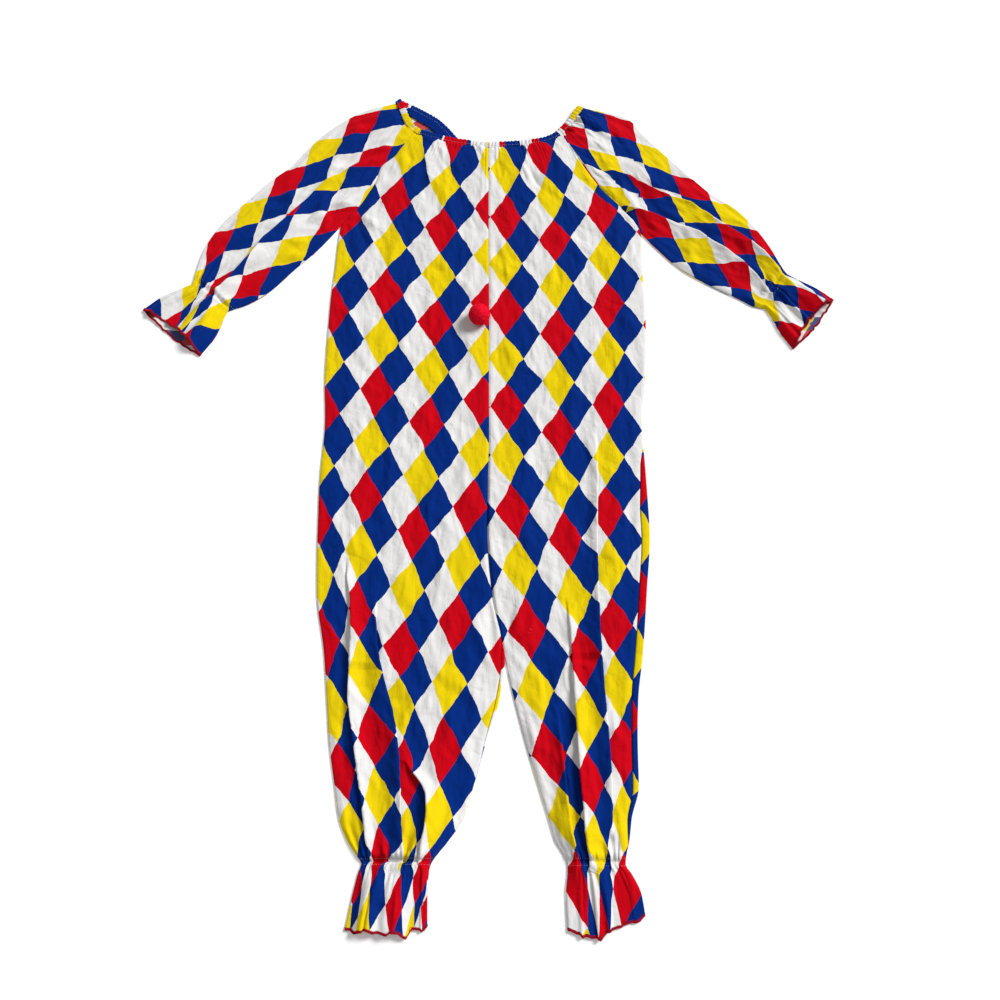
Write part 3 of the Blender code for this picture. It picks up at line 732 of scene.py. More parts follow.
def print_places(row: Row, cuts: Sequence[FoldCut], columns: Sequence[PrintColumn], cut: Array) -> Array:
    """The print's two coordinates along one row.

    Args:
        row: the row.
        cuts: the folds across it.
        columns: the printed columns, in order along the row.
        cut: distances along the cloth.

    Returns:
        For each distance, the place across and the place along, in half diamonds.
    """
    places, across, along = [], [], []
    for column in columns:
        centres = np.array([(x, y, number) for number, x, y in column.centres], dtype=float)
        place, (number,) = row.crossing(centres, extend=True)
        places.append(place + sum(fold.hidden for fold in cuts if fold.place < place))
        across.append(column.across)
        along.append(number)
    towards = math.copysign(1.0, across[-1] - across[0])
    found = lerped(cut, np.array(places), np.column_stack([across, along]))
    for end, inner, past in ((0, 1, cut < places[0]), (-1, -2, cut > places[-1])):
        beyond = (cut - places[end])[past]
        lean = (along[end] - along[inner]) / (places[end] - places[inner])
        found[past, 0] = across[end] + towards * beyond / HALF_DIAMOND_WIDTH
        found[past, 1] = along[end] + lean * beyond
    return found


def creased(x: Array, y: Array, creases: Sequence[Crease]) -> Array:
    """The height that soft creases add at places in plan."""
    height = np.zeros_like(x)
    for crease in creases:
        (start_x, start_y), (end_x, end_y) = crease.start, crease.end
        length = math.hypot(end_x - start_x, end_y - start_y)
        run_x, run_y = (end_x - start_x) / length, (end_y - start_y) / length
        share = ((x - start_x) * run_x + (y - start_y) * run_y) / length
        aside = (y - start_y) * run_x - (x - start_x) * run_y - crease.bow * 4.0 * share * (1.0 - share)
        inside = smooth_step(np.minimum(share, 1.0 - share) * 2.0)
        width = np.where(aside > 0.0, crease.width, max(0.55 * crease.width, 2.8))
        shape = np.exp(-np.sqrt((aside / width) ** 2 * 3.2 + 0.7) + 0.84)
        height += np.where((share > 0.0) & (share < 1.0), crease.height * inside * shape, 0.0)
    return height


@dataclass(frozen=True)
class Crinkle:
    """The slight unevenness of washed cloth laid flat: long low ridges with finer ones between.

    Args:
        seed: a fixed seed.
        along: the direction in which the ridges run, in plan.
        height: the height of the largest, in millimetres.
    """

    seed: int
    along: tuple[float, float] = (0.05, 1.0)
    height: float = 0.5

    def __call__(self, x: Array, y: Array) -> Array:
        """The height at places in plan."""
        draw = np.random.default_rng(self.seed)
        run = np.array(self.along) / np.hypot(*self.along)
        total = np.zeros_like(x)
        for spacing, length, share in (
            (46.0, 150.0, 1.0), (31.0, 210.0, 0.8), (23.0, 90.0, 0.7), (17.0, 120.0, 0.5),
            (12.0, 70.0, 0.34), (9.0, 95.0, 0.26), (7.0, 52.0, 0.2),
        ):
            turn = math.radians(draw.uniform(-24.0, 24.0))
            way_x = run[0] * math.cos(turn) - run[1] * math.sin(turn)
            way_y = run[0] * math.sin(turn) + run[1] * math.cos(turn)
            distance = x * way_x + y * way_y
            aside = x * way_y - y * way_x
            bend = spacing * 0.45 * np.sin(TURN * distance / length + draw.uniform(0.0, 6.3))
            patched = TURN * (distance / (length * 0.8) + aside / (spacing * 3.1))
            patch = 0.5 + 0.5 * np.sin(patched + draw.uniform(0.0, 6.3))
            wave = np.sin(math.pi * (aside + bend) / spacing + draw.uniform(0.0, 6.3))
            ridge = 1.0 - np.sqrt(wave**2 + 0.05) - 0.36
            total += share * patch * ridge
        return self.height * total


@dataclass
class Grid:
    """A sheet of cloth as rows of points, in millimetres.

    Args:
        points: its mid-surface, rows by columns by 3.
        prints: the print's two coordinates at each point.
        hem: the distance from the serged edge at each point.
        flip: whether the printed side is the other one.
    """

    points: Array
    prints: Array
    hem: Array
    flip: bool = False

    def normals(self) -> Array:
        """Unit vectors out of the printed side."""
        found = np.cross(np.gradient(self.points, axis=0), np.gradient(self.points, axis=1))
        found /= np.maximum(np.linalg.norm(found, axis=2), 1e-9)[..., None]
        return -found if self.flip else found

    def edge(self, row: int, lift: float) -> Array:
        """One row of the sheet's printed surface, raised off it a little."""
        return self.points[row] + self.normals()[row] * (CLOTH_THICKNESS / 2.0 + lift)


def linked(name: str, data: bpy.types.ID) -> Piece:
    """A new object of the given mesh, light or camera, placed in the scene."""
    made = bpy.data.objects.new(name, data)
    bpy.context.scene.collection.objects.link(made)
    return made


def add_attribute(mesh: bpy.types.Mesh, name: str, values: Array, kind: str = "FLOAT") -> None:
    """Adds a number or a vector at each point of a mesh."""
    made = mesh.attributes.new(name, kind, "POINT")
    made.data.foreach_set("value" if kind == "FLOAT" else "vector", values.astype(np.float32).ravel())


def add_print(mesh: bpy.types.Mesh, prints: Array, faces: Array) -> None:
    """Adds the print's coordinates, given at each point, as the mesh's UV map."""
    layer = mesh.uv_layers.new(name="print")
    layer.data.foreach_set("uv", prints[faces.ravel()].astype(np.float32).ravel())


def shell(name: str, grid: Grid, materials: Sequence[Material]) -> Piece:
    """A closed sheet about a grid: printed side, inner side and rim.

    Args:
        name: the piece's name.
        grid: the mid-surface.
        materials: the printed side's material and the inner side's.

    Returns:
        The piece.
    """
    rows, columns = grid.points.shape[:2]
    half = grid.normals() * (CLOTH_THICKNESS / 2.0)
    points = np.concatenate([(grid.points + half).reshape(-1, 3), (grid.points - half).reshape(-1, 3)]) * MM
    index = np.arange(rows * columns).reshape(rows, columns)
    quads = np.stack([index[:-1, :-1], index[1:, :-1], index[1:, 1:], index[:-1, 1:]], axis=-1).reshape(-1, 4)
    rim = np.concatenate([index[0], index[1:, -1], index[-1, -2::-1], index[-2::-1, 0]])
    wall = np.column_stack([rim[:-1], rim[1:], rim[1:] + rows * columns, rim[:-1] + rows * columns])
    if grid.flip:
        quads, wall = quads[:, ::-1], wall[:, ::-1]
    faces = np.concatenate([quads, quads[:, ::-1] + rows * columns, wall])
    slots = np.ones(len(faces), np.int32)
    slots[: len(quads)] = 0
    mesh = bpy.data.meshes.new(name)
    mesh.vertices.add(len(points))
    mesh.vertices.foreach_set("co", points.astype(np.float32).ravel())
    mesh.loops.add(faces.size)
    mesh.loops.foreach_set("vertex_index", faces.astype(np.int32).ravel())
    mesh.polygons.add(len(faces))
    mesh.polygons.foreach_set("loop_start", np.arange(0, faces.size, 4, dtype=np.int32))
    mesh.update(calc_edges=True)
    add_print(mesh, np.concatenate([grid.prints.reshape(-1, 2)] * 2), faces)
    add_attribute(mesh, "hem", np.concatenate([grid.hem.ravel()] * 2))
    for material in materials:
        mesh.materials.append(material)
    mesh.polygons.foreach_set("material_index", slots)
    mesh.shade_smooth()
    return linked(name, mesh)


def edge_drop(distance: Array, radius: float) -> Array:
    """1 at an edge falling to 0 at a radius from it, along a quarter circle."""
    left = 1.0 - np.clip(distance / radius, 0.0, 1.0)
    return 1.0 - np.sqrt(1.0 - left**2 * 0.998)


def seam_groove(distance: Array, along: float, depth: float = 0.9) -> Array:
    """How far cloth dips beside a sewn seam, with the small puckers that stitching leaves."""
    pucker = 0.5 + 0.5 * math.sin(along / 2.9 + 1.7 * math.sin(along / 11.0))
    return depth * np.exp(-((distance / 1.5) ** 2)) + 0.34 * pucker * np.exp(-distance / 4.5)


def neck_seam(x: Array, edge: Points) -> Array:
    """Where the cloth ends under the neck casing, in plan, for given x."""
    line = np.array(edge)
    return np.interp(x, line[:, 0], line[:, 1]) - 5.0


def held_above(height: Array, floor: float | Array) -> Array:
    """Heights kept over a floor, with a soft bend where they meet it."""
    over = height - floor
    return floor + 0.5 * (over + np.sqrt(over**2 + 0.35))


def strip_at(table: Points, y: float) -> float:
    """How far a seam is rolled onto the front at one height."""
    if not table:
        return 0.0
    heights = np.array(table)[::-1]
    return float(np.interp(y, heights[:, 0], heights[:, 1]))


def rise(value: float) -> float:
    """The soft step of one number, as a plain number."""
    return float(smooth_step(value))


def raglan_point(raglan: Points, place_down: float) -> Array | None:
    """The back raglan seam at a section's number, or None below the armpit."""
    line = np.array(raglan, dtype=float)
    if place_down >= len(line) - 1:
        return None
    return lerped(place_down, np.arange(len(line)), line)[0]


def level_at(above: float) -> float:
    """The front's height, which grows from the armpit to the neck."""
    return FRONT_HEIGHT + (NECK_FRONT_HEIGHT - FRONT_HEIGHT) * above


def low_waves(relief: Array, cuff: float, hold: float) -> Array:
    """The shallow waves of cloth that lies on the floor, held under a limit."""
    waves = held_above(relief, 0.0) * cuff * hold
    return BACK_WAVE_LIMIT * np.tanh(waves / BACK_WAVE_LIMIT)


def coarser(sections: Points) -> Points:
    """A table for a back panel, whose rows lie further apart."""
    return [(*row[:4], max(row[4], 4.0) * 1.5, *row[5:]) for row in sections]


@dataclass
class LaidCloth:
    """Cloth that shows on top, laid in folds.

    Args:
        sections: its table of sections.
        folds: the large folds.
        creases: the soft creases.
        columns_of_print: where the printed diamonds lie.
        gathers: the elastics' small folds.
        crinkle: the cloth's slight unevenness.
    """

    sections: Points
    folds: Sequence[Fold]
    creases: Sequence[Crease]
    columns_of_print: Sequence[PrintColumn]
    gathers: Gathers
    crinkle: Crinkle


@dataclass
class FrontPanel(LaidCloth):
    """One front panel, from the neck casing to the ankle's ruffle.

    Args:
        side_strip: how far the side seam is rolled onto the front, as y and width.
        inseam_strip: the same along the inside leg.
        hem_dips: how far the hem hangs below its line, as share along the row and distance.
        columns: how many steps the panel has across.
    """

    side_strip: Points
    inseam_strip: Points
    hem_dips: Points
    columns: int = 150

    def grid(self) -> Grid:
        """The panel's mid-surface, its rows from the neck edge to the hem."""
        rows, numbers = section_rows(self.sections)
        self.gathers.spread(rows, (55.0, 25.0))
        on_right = self.sections[0][0] < 0.0
        neck_y, armpit_y = self.sections[0][1], self.sections[ARMPIT_SECTION][1]
        crotch_y = self.sections[CROTCH_SECTION][3]
        inward = 1.0 if on_right else -1.0
        points, prints, hems = [], [], []
        hem_line = float(np.mean(rows[-1, [1, 3]]))
        elastic = float(np.interp(np.mean(LEG_STITCHES), numbers, self.gathers.neck_depth))
        dips = np.array(self.hem_dips)
        for number, (outer_x, outer_y, inner_x, inner_y, _, loft, gather, ruffle) in enumerate(rows):
            outer_x = outer_x + inward * (strip_at(self.side_strip, outer_y) + 0.08)
            inner_x = inner_x - inward * (strip_at(self.inseam_strip, inner_y) + 0.06)
            outer, inner = np.array([outer_x, outer_y]), np.array([inner_x, inner_y])
            row = Row(outer, inner) if on_right else Row(inner, outer)
            cuts = cuts_of(row, self.folds)
            laid = folded_row(row.width, cuts, self.gathers, number, self.columns)
            place = laid.plan / row.width
            plan = row.start + np.outer(laid.plan, row.along)
            x, y = plan[:, 0], plan[:, 1]
            if numbers[number] < 1.0:
                y = y + (neck_seam(x, NECK_FRONT_EDGE) - y) * (1.0 - numbers[number]) ** 1.5
            y = y + 0.45 * RUFFLE_SWAY * self.gathers.sway(laid.share, number)
            y = y - ruffle**3 * np.interp(place, dips[:, 0], dips[:, 1])
            level = level_at(rise((outer_y - armpit_y) / (neck_y - armpit_y)))
            on_sleeve = rise((outer_y - armpit_y) / ARMPIT_BLEND)
            opened = rise((crotch_y + CROTCH_BLEND - inner_y) / CROTCH_BLEND)
            from_outer = laid.plan if on_right else row.width - laid.plan
            from_inner = row.width - from_outer
            share = from_outer / row.width
            swell = 1.0 - np.abs(2.0 * share - 1.0) ** 5
            swell = 1.0 - (1.0 - swell) * np.where(share > 0.5, opened, 1.0)
            cuff = max(gather, ruffle)
            below_casing = rise(self.gathers.neck_depth[number] / CASING_REACH)
            cloth = level + loft * swell * below_casing + laid.relief - CASING_DIP * (1.0 - below_casing)
            cloth += creased(x, y, self.creases) * (1.0 - cuff)
            quiet = smooth_step(np.minimum(from_outer, from_inner) / 9.0)
            settle = (1.0 - 0.5 * cuff) * (1.0 + 0.4 * rise((-110.0 - outer_y) / 200.0))
            cloth += self.crinkle(x, y) * quiet * settle
            cloth += self.gathers.puffs(place, self.gathers.neck_depth[number] - elastic) * swell
            cloth = held_above(cloth, 1.3 + 1.0 * cuff)
            cloth += 1.3 * rise(ruffle * 1.5) * (1.0 - smooth_step(from_inner / 14.0)) * 0.6
            radius = 4.2 - 1.0 * cuff
            tuck = edge_drop(from_outer, radius) * (1.0 - on_sleeve)
            tuck_inner = edge_drop(from_inner, radius) * opened
            cloth -= (cloth - SEAM_HEIGHT) * np.maximum(tuck, tuck_inner)
            cloth -= seam_groove(from_outer, outer_y + outer_x * 0.6) * on_sleeve
            centre_depth = 0.7 + 2.2 * rise((70.0 - inner_y) / 160.0)
            cloth -= seam_groove(from_inner, inner_y, centre_depth) * (1.0 - opened)
            points.append(np.column_stack([x, y, cloth]))
            prints.append(print_places(row, cuts, self.columns_of_print, laid.cut))
            hems.append(np.full(len(x), (outer_y + inner_y) / 2.0 - hem_line))
        return Grid(np.array(points), np.array(prints), np.array(hems))


@dataclass
class BackPanel:
    """One back panel, flat on its printed side, with its side and inside leg seams turned up.

    Args:
        sections: the panel's table.
        raglan: its raglan seam.
        gathers: the elastic's small folds.
        side_strip: how far the side seam is rolled onto the front, as y and width.
        inseam_strip: the same along the inside leg.
        edge_print: a column of diamonds near the side seam, as number along, y, and distance in from it.
        columns: how many steps the flat part has across.
        turn_height: the height that a turned edge reaches.
    """

    sections: Points
    raglan: Points
    gathers: Gathers
    side_strip: Points
    inseam_strip: Points
    edge_print: Points
    columns: int = 84
    turn_height: float = 2.2

    def turned_edge(self, strip: float, roll: float) -> tuple[Array, Array]:
        """An edge turned up and rolled inward.

        Args:
            strip: how far it runs in over the front.
            roll: 1 where it is turned up, 0 where it lies flat.

        Returns:
            Distances inward from the silhouette and heights above the panel, from the flat part to the edge.
        """
        rolled = min(strip / 2.0, 1.0)
        radius = (0.5 + (self.turn_height / 2.0 - 0.5) * rolled) * roll
        angles = np.radians(np.linspace(-90.0, 30.0 + 60.0 * rolled, 9))
        inward = radius * (1.0 - np.cos(angles))
        height = radius * (1.0 + np.sin(angles))
        run = np.linspace(0.0, 1.0, 6)[1:]
        start = inward[-1]
        inward = np.concatenate([inward, start + (max(strip, start) - start) * run])
        height = np.concatenate([height, height[-1] + (0.35 * np.sin(math.pi * run) - 0.3 * run**4) * rolled])
        return inward, height

    def grid(self) -> Grid:
        """The panel's mid-surface, from the neck edge to the hem."""
        rows, numbers = section_rows(coarser(self.sections))
        self.gathers.spread(rows, (0.0, 1.0), (0.8, 0.5))
        on_right = self.sections[0][0] < 0.0
        armpit_y = self.sections[ARMPIT_SECTION][1]
        crotch_y = self.sections[CROTCH_SECTION][3]
        hem_line = float(np.mean(rows[-1, [1, 3]]))
        points, prints, hems = [], [], []
        for number, (outer_x, outer_y, inner_x, inner_y, _, _, gather, ruffle) in enumerate(rows):
            place_down = numbers[number]
            seam = raglan_point(self.raglan, place_down)
            if seam is not None:
                outer_x, outer_y = seam
            if place_down < 1.0:
                inner_x = BACK_NECK_INNER[0]
                inner_y = inner_y + (BACK_NECK_INNER[1] - self.sections[0][3]) * (1.0 - place_down)
            opened = rise((crotch_y + CROTCH_BLEND - inner_y) / CROTCH_BLEND)
            sided = 1.0 - rise((outer_y - armpit_y) / ARMPIT_BLEND)
            outer_in, outer_up = self.turned_edge(strip_at(self.side_strip, outer_y), sided)
            inner_in, inner_up = self.turned_edge(strip_at(self.inseam_strip, inner_y), opened)
            row = Row(np.array([outer_x, outer_y]), np.array([inner_x, inner_y]))
            laid = folded_row(row.width - outer_in[0] - inner_in[0], [], self.gathers, number, self.columns)
            flat = laid.plan + 0.1
            flat = flat[(flat > 1.2) & (flat < row.width - 1.2)]
            flat = np.interp(np.linspace(0, 1, self.columns), np.linspace(0, 1, len(flat)), flat)
            cuff = max(gather, ruffle)
            waves = low_waves(np.interp(flat, laid.plan, laid.relief) + 1.2 * cuff, cuff, 1.0)
            waves = waves * smooth_step(np.minimum(flat, row.width - flat) / 5.0)
            distance = np.concatenate([outer_in[::-1], flat, row.width - inner_in])
            height = np.concatenate([outer_up[::-1], waves, inner_up]) + REST_HEIGHT
            plan = row.start + np.outer(distance, row.along)
            y = plan[:, 1]
            if place_down < 2.0:
                y = y + (neck_seam(plan[:, 0], NECK_BACK_EDGE) - y) * (1.0 - place_down / 2.0) ** 1.5
            from_hem = (outer_y + inner_y) / 2.0 - hem_line
            height = height + HEM_LIFT * (1.0 - rise(from_hem / HEM_REACH))
            points.append(np.column_stack([plan[:, 0], y, height]))
            table = np.array(self.edge_print)[::-1]
            along, offset = lerped(outer_y, table[:, 1], table[:, [0, 2]])[0]
            along = along + (outer_y - y) / HALF_DIAMOND_HEIGHT
            across = 1.0 + (travel(points[-1]) - offset) / HALF_DIAMOND_WIDTH
            prints.append(np.column_stack([across, along]))
            hems.append(np.full(len(y), from_hem))
        return Grid(np.array(points), np.array(prints), np.array(hems), flip=on_right)


@dataclass
class Sleeve(LaidCloth):
    """One raglan sleeve: over the arm, round the shoulder fold and back under it.

    Args:
        raglan: the back raglan seam.
        top_columns: how many steps the upper layer has across.
        under_columns: how many the lower layer has.
    """

    raglan: Points
    top_columns: int = SLEEVE_TOP_COLUMNS
    under_columns: int = 56

    def grid(self) -> Grid:
        """The sleeve's mid-surface, each row from the upper seam edge to the lower one."""
        rows, numbers = section_rows(self.sections)
        self.gathers.spread(rows, (45.0, 20.0))
        travelled = self.gathers.neck_depth
        on_right = self.sections[0][0] < 0.0
        elastic = float(np.interp(np.mean(SLEEVE_STITCHES), numbers, travelled))
        points, prints, hems = [], [], []
        for number, (seam_x, seam_y, fold_x, fold_y, _, gather, ruffle) in enumerate(rows):
            place_down = numbers[number]
            seam, fold = np.array([seam_x, seam_y]), np.array([fold_x, fold_y])
            above = rise((ARMPIT_SECTION - place_down) / ARMPIT_SECTION)
            on_body = rise((ARMPIT_SECTION - place_down) / 0.4)
            cuff = max(gather, ruffle)
            turn = 1.15 + 0.5 * above + 0.35 * cuff
            across = (fold - seam) / np.linalg.norm(fold - seam)
            row = Row(seam + across * 0.08, fold - across * turn)
            cuts = cuts_of(row, self.folds)
            laid = folded_row(row.width, cuts, self.gathers, number, self.top_columns)
            plan = row.start + np.outer(laid.plan, row.along)
            from_seam, from_fold = laid.plan, row.width - laid.plan
            share = laid.plan / row.width
            top_edge = REST_HEIGHT + 2.0 * turn
            edge_level = level_at(above) * on_body + SEAM_HEIGHT * (1.0 - on_body)
            below_casing = rise(travelled[number] / CASING_REACH)
            shape = (1.0 - np.abs(2.0 * share - 1.0) ** 4) * (1.9 + 0.5 * cuff + 4.5 * ruffle)
            dome = level_at(above) + shape * below_casing - CASING_DIP * (1.0 - below_casing)
            cloth = dome + laid.relief + creased(plan[:, 0], plan[:, 1], self.creases) * (1.0 - cuff)
            quiet = smooth_step(np.minimum(from_seam, from_fold) / 8.0)
            cloth += self.crinkle(plan[:, 0], plan[:, 1]) * quiet * (1.0 - 0.8 * cuff)
            puffs = 0.8 * self.gathers.puffs(share, travelled[number] - elastic)
            cloth += puffs * (1.0 - (2.0 * share - 1.0) ** 6)
            cloth = held_above(cloth, 1.6 + 0.9 * cuff)
            cloth -= (cloth - edge_level) * edge_drop(from_seam, 4.0) * (1.0 - on_body)
            cloth -= seam_groove(from_seam, seam_y + seam_x * 0.6) * on_body
            cloth += (top_edge - cloth) * (1.0 - smooth_step(from_fold / 9.0)) ** 1.5
            dip = (SLEEVE_NECK_DIP * np.sin(math.pi * share) - 4.5) * max(0.0, 1.0 - place_down)
            down_arm = np.array([across[1], -across[0]]) * math.copysign(1.0, seam_x)
            at_hem = smooth_step((place_down - 12.0) / 2.0)
            hem_shift = 6.0 * at_hem * np.sin(math.pi * share)
            sway = 0.3 * RUFFLE_SWAY * self.gathers.sway(laid.share, number)
            top = np.column_stack([plan + np.outer(dip - hem_shift + sway, down_arm), cloth])
            angles = np.radians(np.linspace(90.0, -90.0, 10)[1:-1])
            centre = fold - across * turn
            turn_plan = centre + np.outer(np.cos(angles) * turn, across)
            bend = np.column_stack([turn_plan, REST_HEIGHT + turn + turn * np.sin(angles)])
            under_seam = raglan_point(self.raglan, place_down)
            under_row = Row(centre, seam if under_seam is None else under_seam)
            under_laid = folded_row(under_row.width, [], self.gathers, number, self.under_columns)
            under_share = under_laid.plan / under_row.width
            waves = low_waves(under_laid.relief + 1.0 * cuff, cuff, 0.7)
            waves = waves * smooth_step(np.minimum(under_share, 1.0 - under_share) / 0.08)
            turned = 0.55 * edge_drop(under_row.width - under_laid.plan, 0.9) * (1.0 - on_body) * 1.6
            under_plan = centre + np.outer(under_laid.plan, under_row.along)
            under_plan = under_plan + np.outer(3.4 * at_hem * np.sin(math.pi * under_share), down_arm)
            sway = 0.3 * RUFFLE_SWAY * self.gathers.sway(under_laid.share, number)
            under_plan = under_plan + np.outer(sway, down_arm)
            if place_down < 2.0:
                lifted = neck_seam(under_plan[:, 0], NECK_BACK_EDGE) - under_plan[:, 1]
                under_plan[:, 1] += lifted * (1.0 - place_down / 2.0) ** 1.5 * smooth_step(under_share / 0.3)
            from_hem = float(travelled[-1] - travelled[number])
            hem_rise = HEM_LIFT * (1.0 - rise(from_hem / HEM_REACH))
            below = np.column_stack([under_plan, REST_HEIGHT + hem_rise + waves + turned])
            points.append(np.vstack([top, bend, below]))
            on_top = print_places(row, cuts, self.columns_of_print, laid.cut)
            run = travel(np.vstack([top[-1:], bend, below]))[1:]
            step = (on_top[-1] - on_top[-2]) / max(laid.cut[-1] - laid.cut[-2], 1e-6)
            prints.append(np.vstack([on_top, on_top[-1] + np.outer(run, step)]))
            hems.append(np.full(len(points[-1]), from_hem))
        return Grid(np.array(points), np.array(prints), np.array(hems), flip=on_right)


class Graph:
    """Adds nodes to a node tree and joins them."""

    def __init__(self, tree: Tree) -> None:
        """Keeps the tree."""
        self.tree = tree

    def node(self, kind: str, inputs: dict | None = None, **settings: object) -> Node:
        """Adds one node.

        Args:
            kind: the node's type.
            inputs: values or sockets for its inputs, by name or number.
            settings: its properties.

        Returns:
            The node.
        """
        made = self.tree.nodes.new(kind)
        for name, value in settings.items():
            setattr(made, name, value)
        self.fill(made, inputs or {})
        return made

    def feed(self, socket: Socket, value: object) -> None:
        """Links a socket into another, or sets its value."""
        if isinstance(value, Socket):
            self.tree.links.new(value, socket)
        else:
            socket.default_value = value

    def math(self, operation: str, first: object, second: object = 0.0) -> Socket:
        """A Math node of two inputs."""
        kind = "ShaderNodeMath"
        return self.node(kind, {0: first, 1: second}, operation=operation).outputs[0]

    def times(self, first: object, second: object) -> Socket:
        """The product of two numbers."""
        return self.math("MULTIPLY", first, second)

    def plus(self, first: object, second: object) -> Socket:
        """The sum of two numbers."""
        return self.math("ADD", first, second)

    def minus(self, first: object, second: object) -> Socket:
        """The difference of two numbers."""
        return self.math("SUBTRACT", first, second)

    def vector(self, operation: str, first: object, second: object) -> Socket:
        """A Vector Math node of a vector with another, or with a scale."""
        inputs = {0: first, 3 if operation == "SCALE" else 1: second}
        return self.node("ShaderNodeVectorMath", inputs, operation=operation).outputs[0]

    def combine(self, x: object = 0.0, y: object = 0.0, z: object = 0.0) -> Socket:
        """A vector of three numbers."""
        return self.node("ShaderNodeCombineXYZ", {0: x, 1: y, 2: z}).outputs[0]

    def noise(self, place: object, scale: float, detail: float, **more: float) -> Node:
        """A Noise Texture node; its first output is a value, its second a colour."""
        inputs = {"Vector": place, "Scale": scale, "Detail": detail}
        return self.node("ShaderNodeTexNoise", inputs | {name.title(): value for name, value in more.items()})

    def group(self, tree: Tree, inputs: dict) -> Node:
        """A node group placed with its own values."""
        made = self.node("ShaderNodeGroup", node_tree=tree)
        self.fill(made, inputs)
        return made

    def fill(self, node: Node, inputs: dict) -> None:
        """Links or sets several inputs of a node, by name."""
        for name, value in inputs.items():
            self.feed(node.inputs[name], value)

    def mix(self, share: object, first: object, second: object) -> Socket:
        """A mix of two colours."""
        return self.node("ShaderNodeMix", {0: share, 6: first, 7: second}, data_type="RGBA").outputs[2]

    def band(self, value: object, low: float, high: float) -> Socket:
        """0 to 1 as a value goes from low to high, held outside them."""
        return self.node("ShaderNodeMapRange", {0: value, 1: low, 2: high}, clamp=True).outputs[0]


def new_group(name: str, inputs: Inputs, outputs: Sequence[tuple[str, str]]) -> tuple:
    """An empty shader node group.

    Args:
        name: the group's name.
        inputs: name, socket type and starting value of each input.
        outputs: name and socket type of each output.

    Returns:
        The group, its Graph, its input node and its output node.
    """
    tree = bpy.data.node_groups.new(name, "ShaderNodeTree")
    for label, kind, value in inputs:
        socket = tree.interface.new_socket(label, in_out="INPUT", socket_type=kind)
        if value is not None:
            socket.default_value = value
    for label, kind in outputs:
        tree.interface.new_socket(label, in_out="OUTPUT", socket_type=kind)
    graph = Graph(tree)
    return tree, graph, graph.node("NodeGroupInput"), graph.node("NodeGroupOutput")


FLOAT, VECTOR, COLOR = "NodeSocketFloat", "NodeSocketVector", "NodeSocketColor"


def from_srgb(red: int, green: int, blue: int) -> tuple[float, float, float, float]:
    """A colour given as sRGB bytes, in linear light."""
    shares = (red / 255.0, green / 255.0, blue / 255.0)
    return (*(((c + 0.055) / 1.055) ** 2.4 if c > 0.04 else c / 12.92 for c in shares), 1.0)


def harlequin_group() -> Tree:
    """Diamonds in rows, blue and white by turns with red and yellow between: a traditional lozenge check."""
    inputs = (
        ("Print", VECTOR, None), ("Blue", COLOR, (0, 0, 1, 1)), ("Red", COLOR, (1, 0, 0, 1)),
        ("Yellow", COLOR, (1, 1, 0, 1)), ("White", COLOR, (1, 1, 1, 1)),
    )
    tree, graph, given, out = new_group("HarlequinPrint", inputs, (("Color", COLOR), ("White Mask", FLOAT)))
    split = graph.node("ShaderNodeSeparateXYZ", {0: given.outputs["Print"]})
    across, along = split.outputs[0], split.outputs[1]
    half_sum = graph.times(graph.plus(along, across), 0.5)
    half_gap = graph.times(graph.minus(along, across), 0.5)
    first = graph.math("FLOOR", graph.plus(half_sum, 0.5))
    second = graph.math("FLOOR", graph.plus(half_gap, 0.5))
    column = graph.minus(first, second)
    row = graph.plus(first, second)
    kind = graph.math("FLOORED_MODULO", graph.plus(column, 0.25), 3.0)
    is_white = graph.math("LESS_THAN", kind, 0.75)
    is_blue = graph.math("GREATER_THAN", kind, 1.75)
    odd = graph.math("GREATER_THAN", graph.math("FLOORED_MODULO", graph.plus(column, 0.25), 2.0), 1.0)
    turn = graph.math("FLOORED_MODULO", graph.plus(graph.plus(row, odd), 0.25), 4.0)
    is_red = graph.math("LESS_THAN", turn, 1.0)
    warm = graph.mix(is_red, given.outputs["Yellow"], given.outputs["Red"])
    with_blue = graph.mix(is_blue, warm, given.outputs["Blue"])
    colour = graph.mix(is_white, with_blue, given.outputs["White"])
    graph.fill(out, {"Color": colour, "White Mask": is_white})
    return tree


def weave_group() -> Tree:
    """A plain weave: threads over and under, with slubs."""
    inputs = (("Place", VECTOR, None), ("Thread Pitch", FLOAT, 0.45), ("Slubs", FLOAT, 0.4))
    tree, graph, given, out = new_group("PlainWeave", inputs, (("Height", FLOAT), ("Tone", FLOAT)))
    per_metre = graph.math("DIVIDE", math.pi / MM, given.outputs["Thread Pitch"])
    place = graph.vector("SCALE", given.outputs["Place"], per_metre)
    split = graph.node("ShaderNodeSeparateXYZ", {0: place})
    crossing = graph.times(graph.math("SINE", split.outputs[0]), graph.math("SINE", split.outputs[1]))
    slub = graph.noise(graph.vector("MULTIPLY", given.outputs["Place"], (1900.0, 60.0, 60.0)), 1.0, 1.0)
    uneven = graph.times(graph.minus(slub.outputs[0], 0.5), given.outputs["Slubs"])
    height = graph.plus(graph.times(crossing, 0.5), uneven)
    graph.fill(out, {"Height": height, "Tone": graph.plus(0.5, uneven)})
    return tree


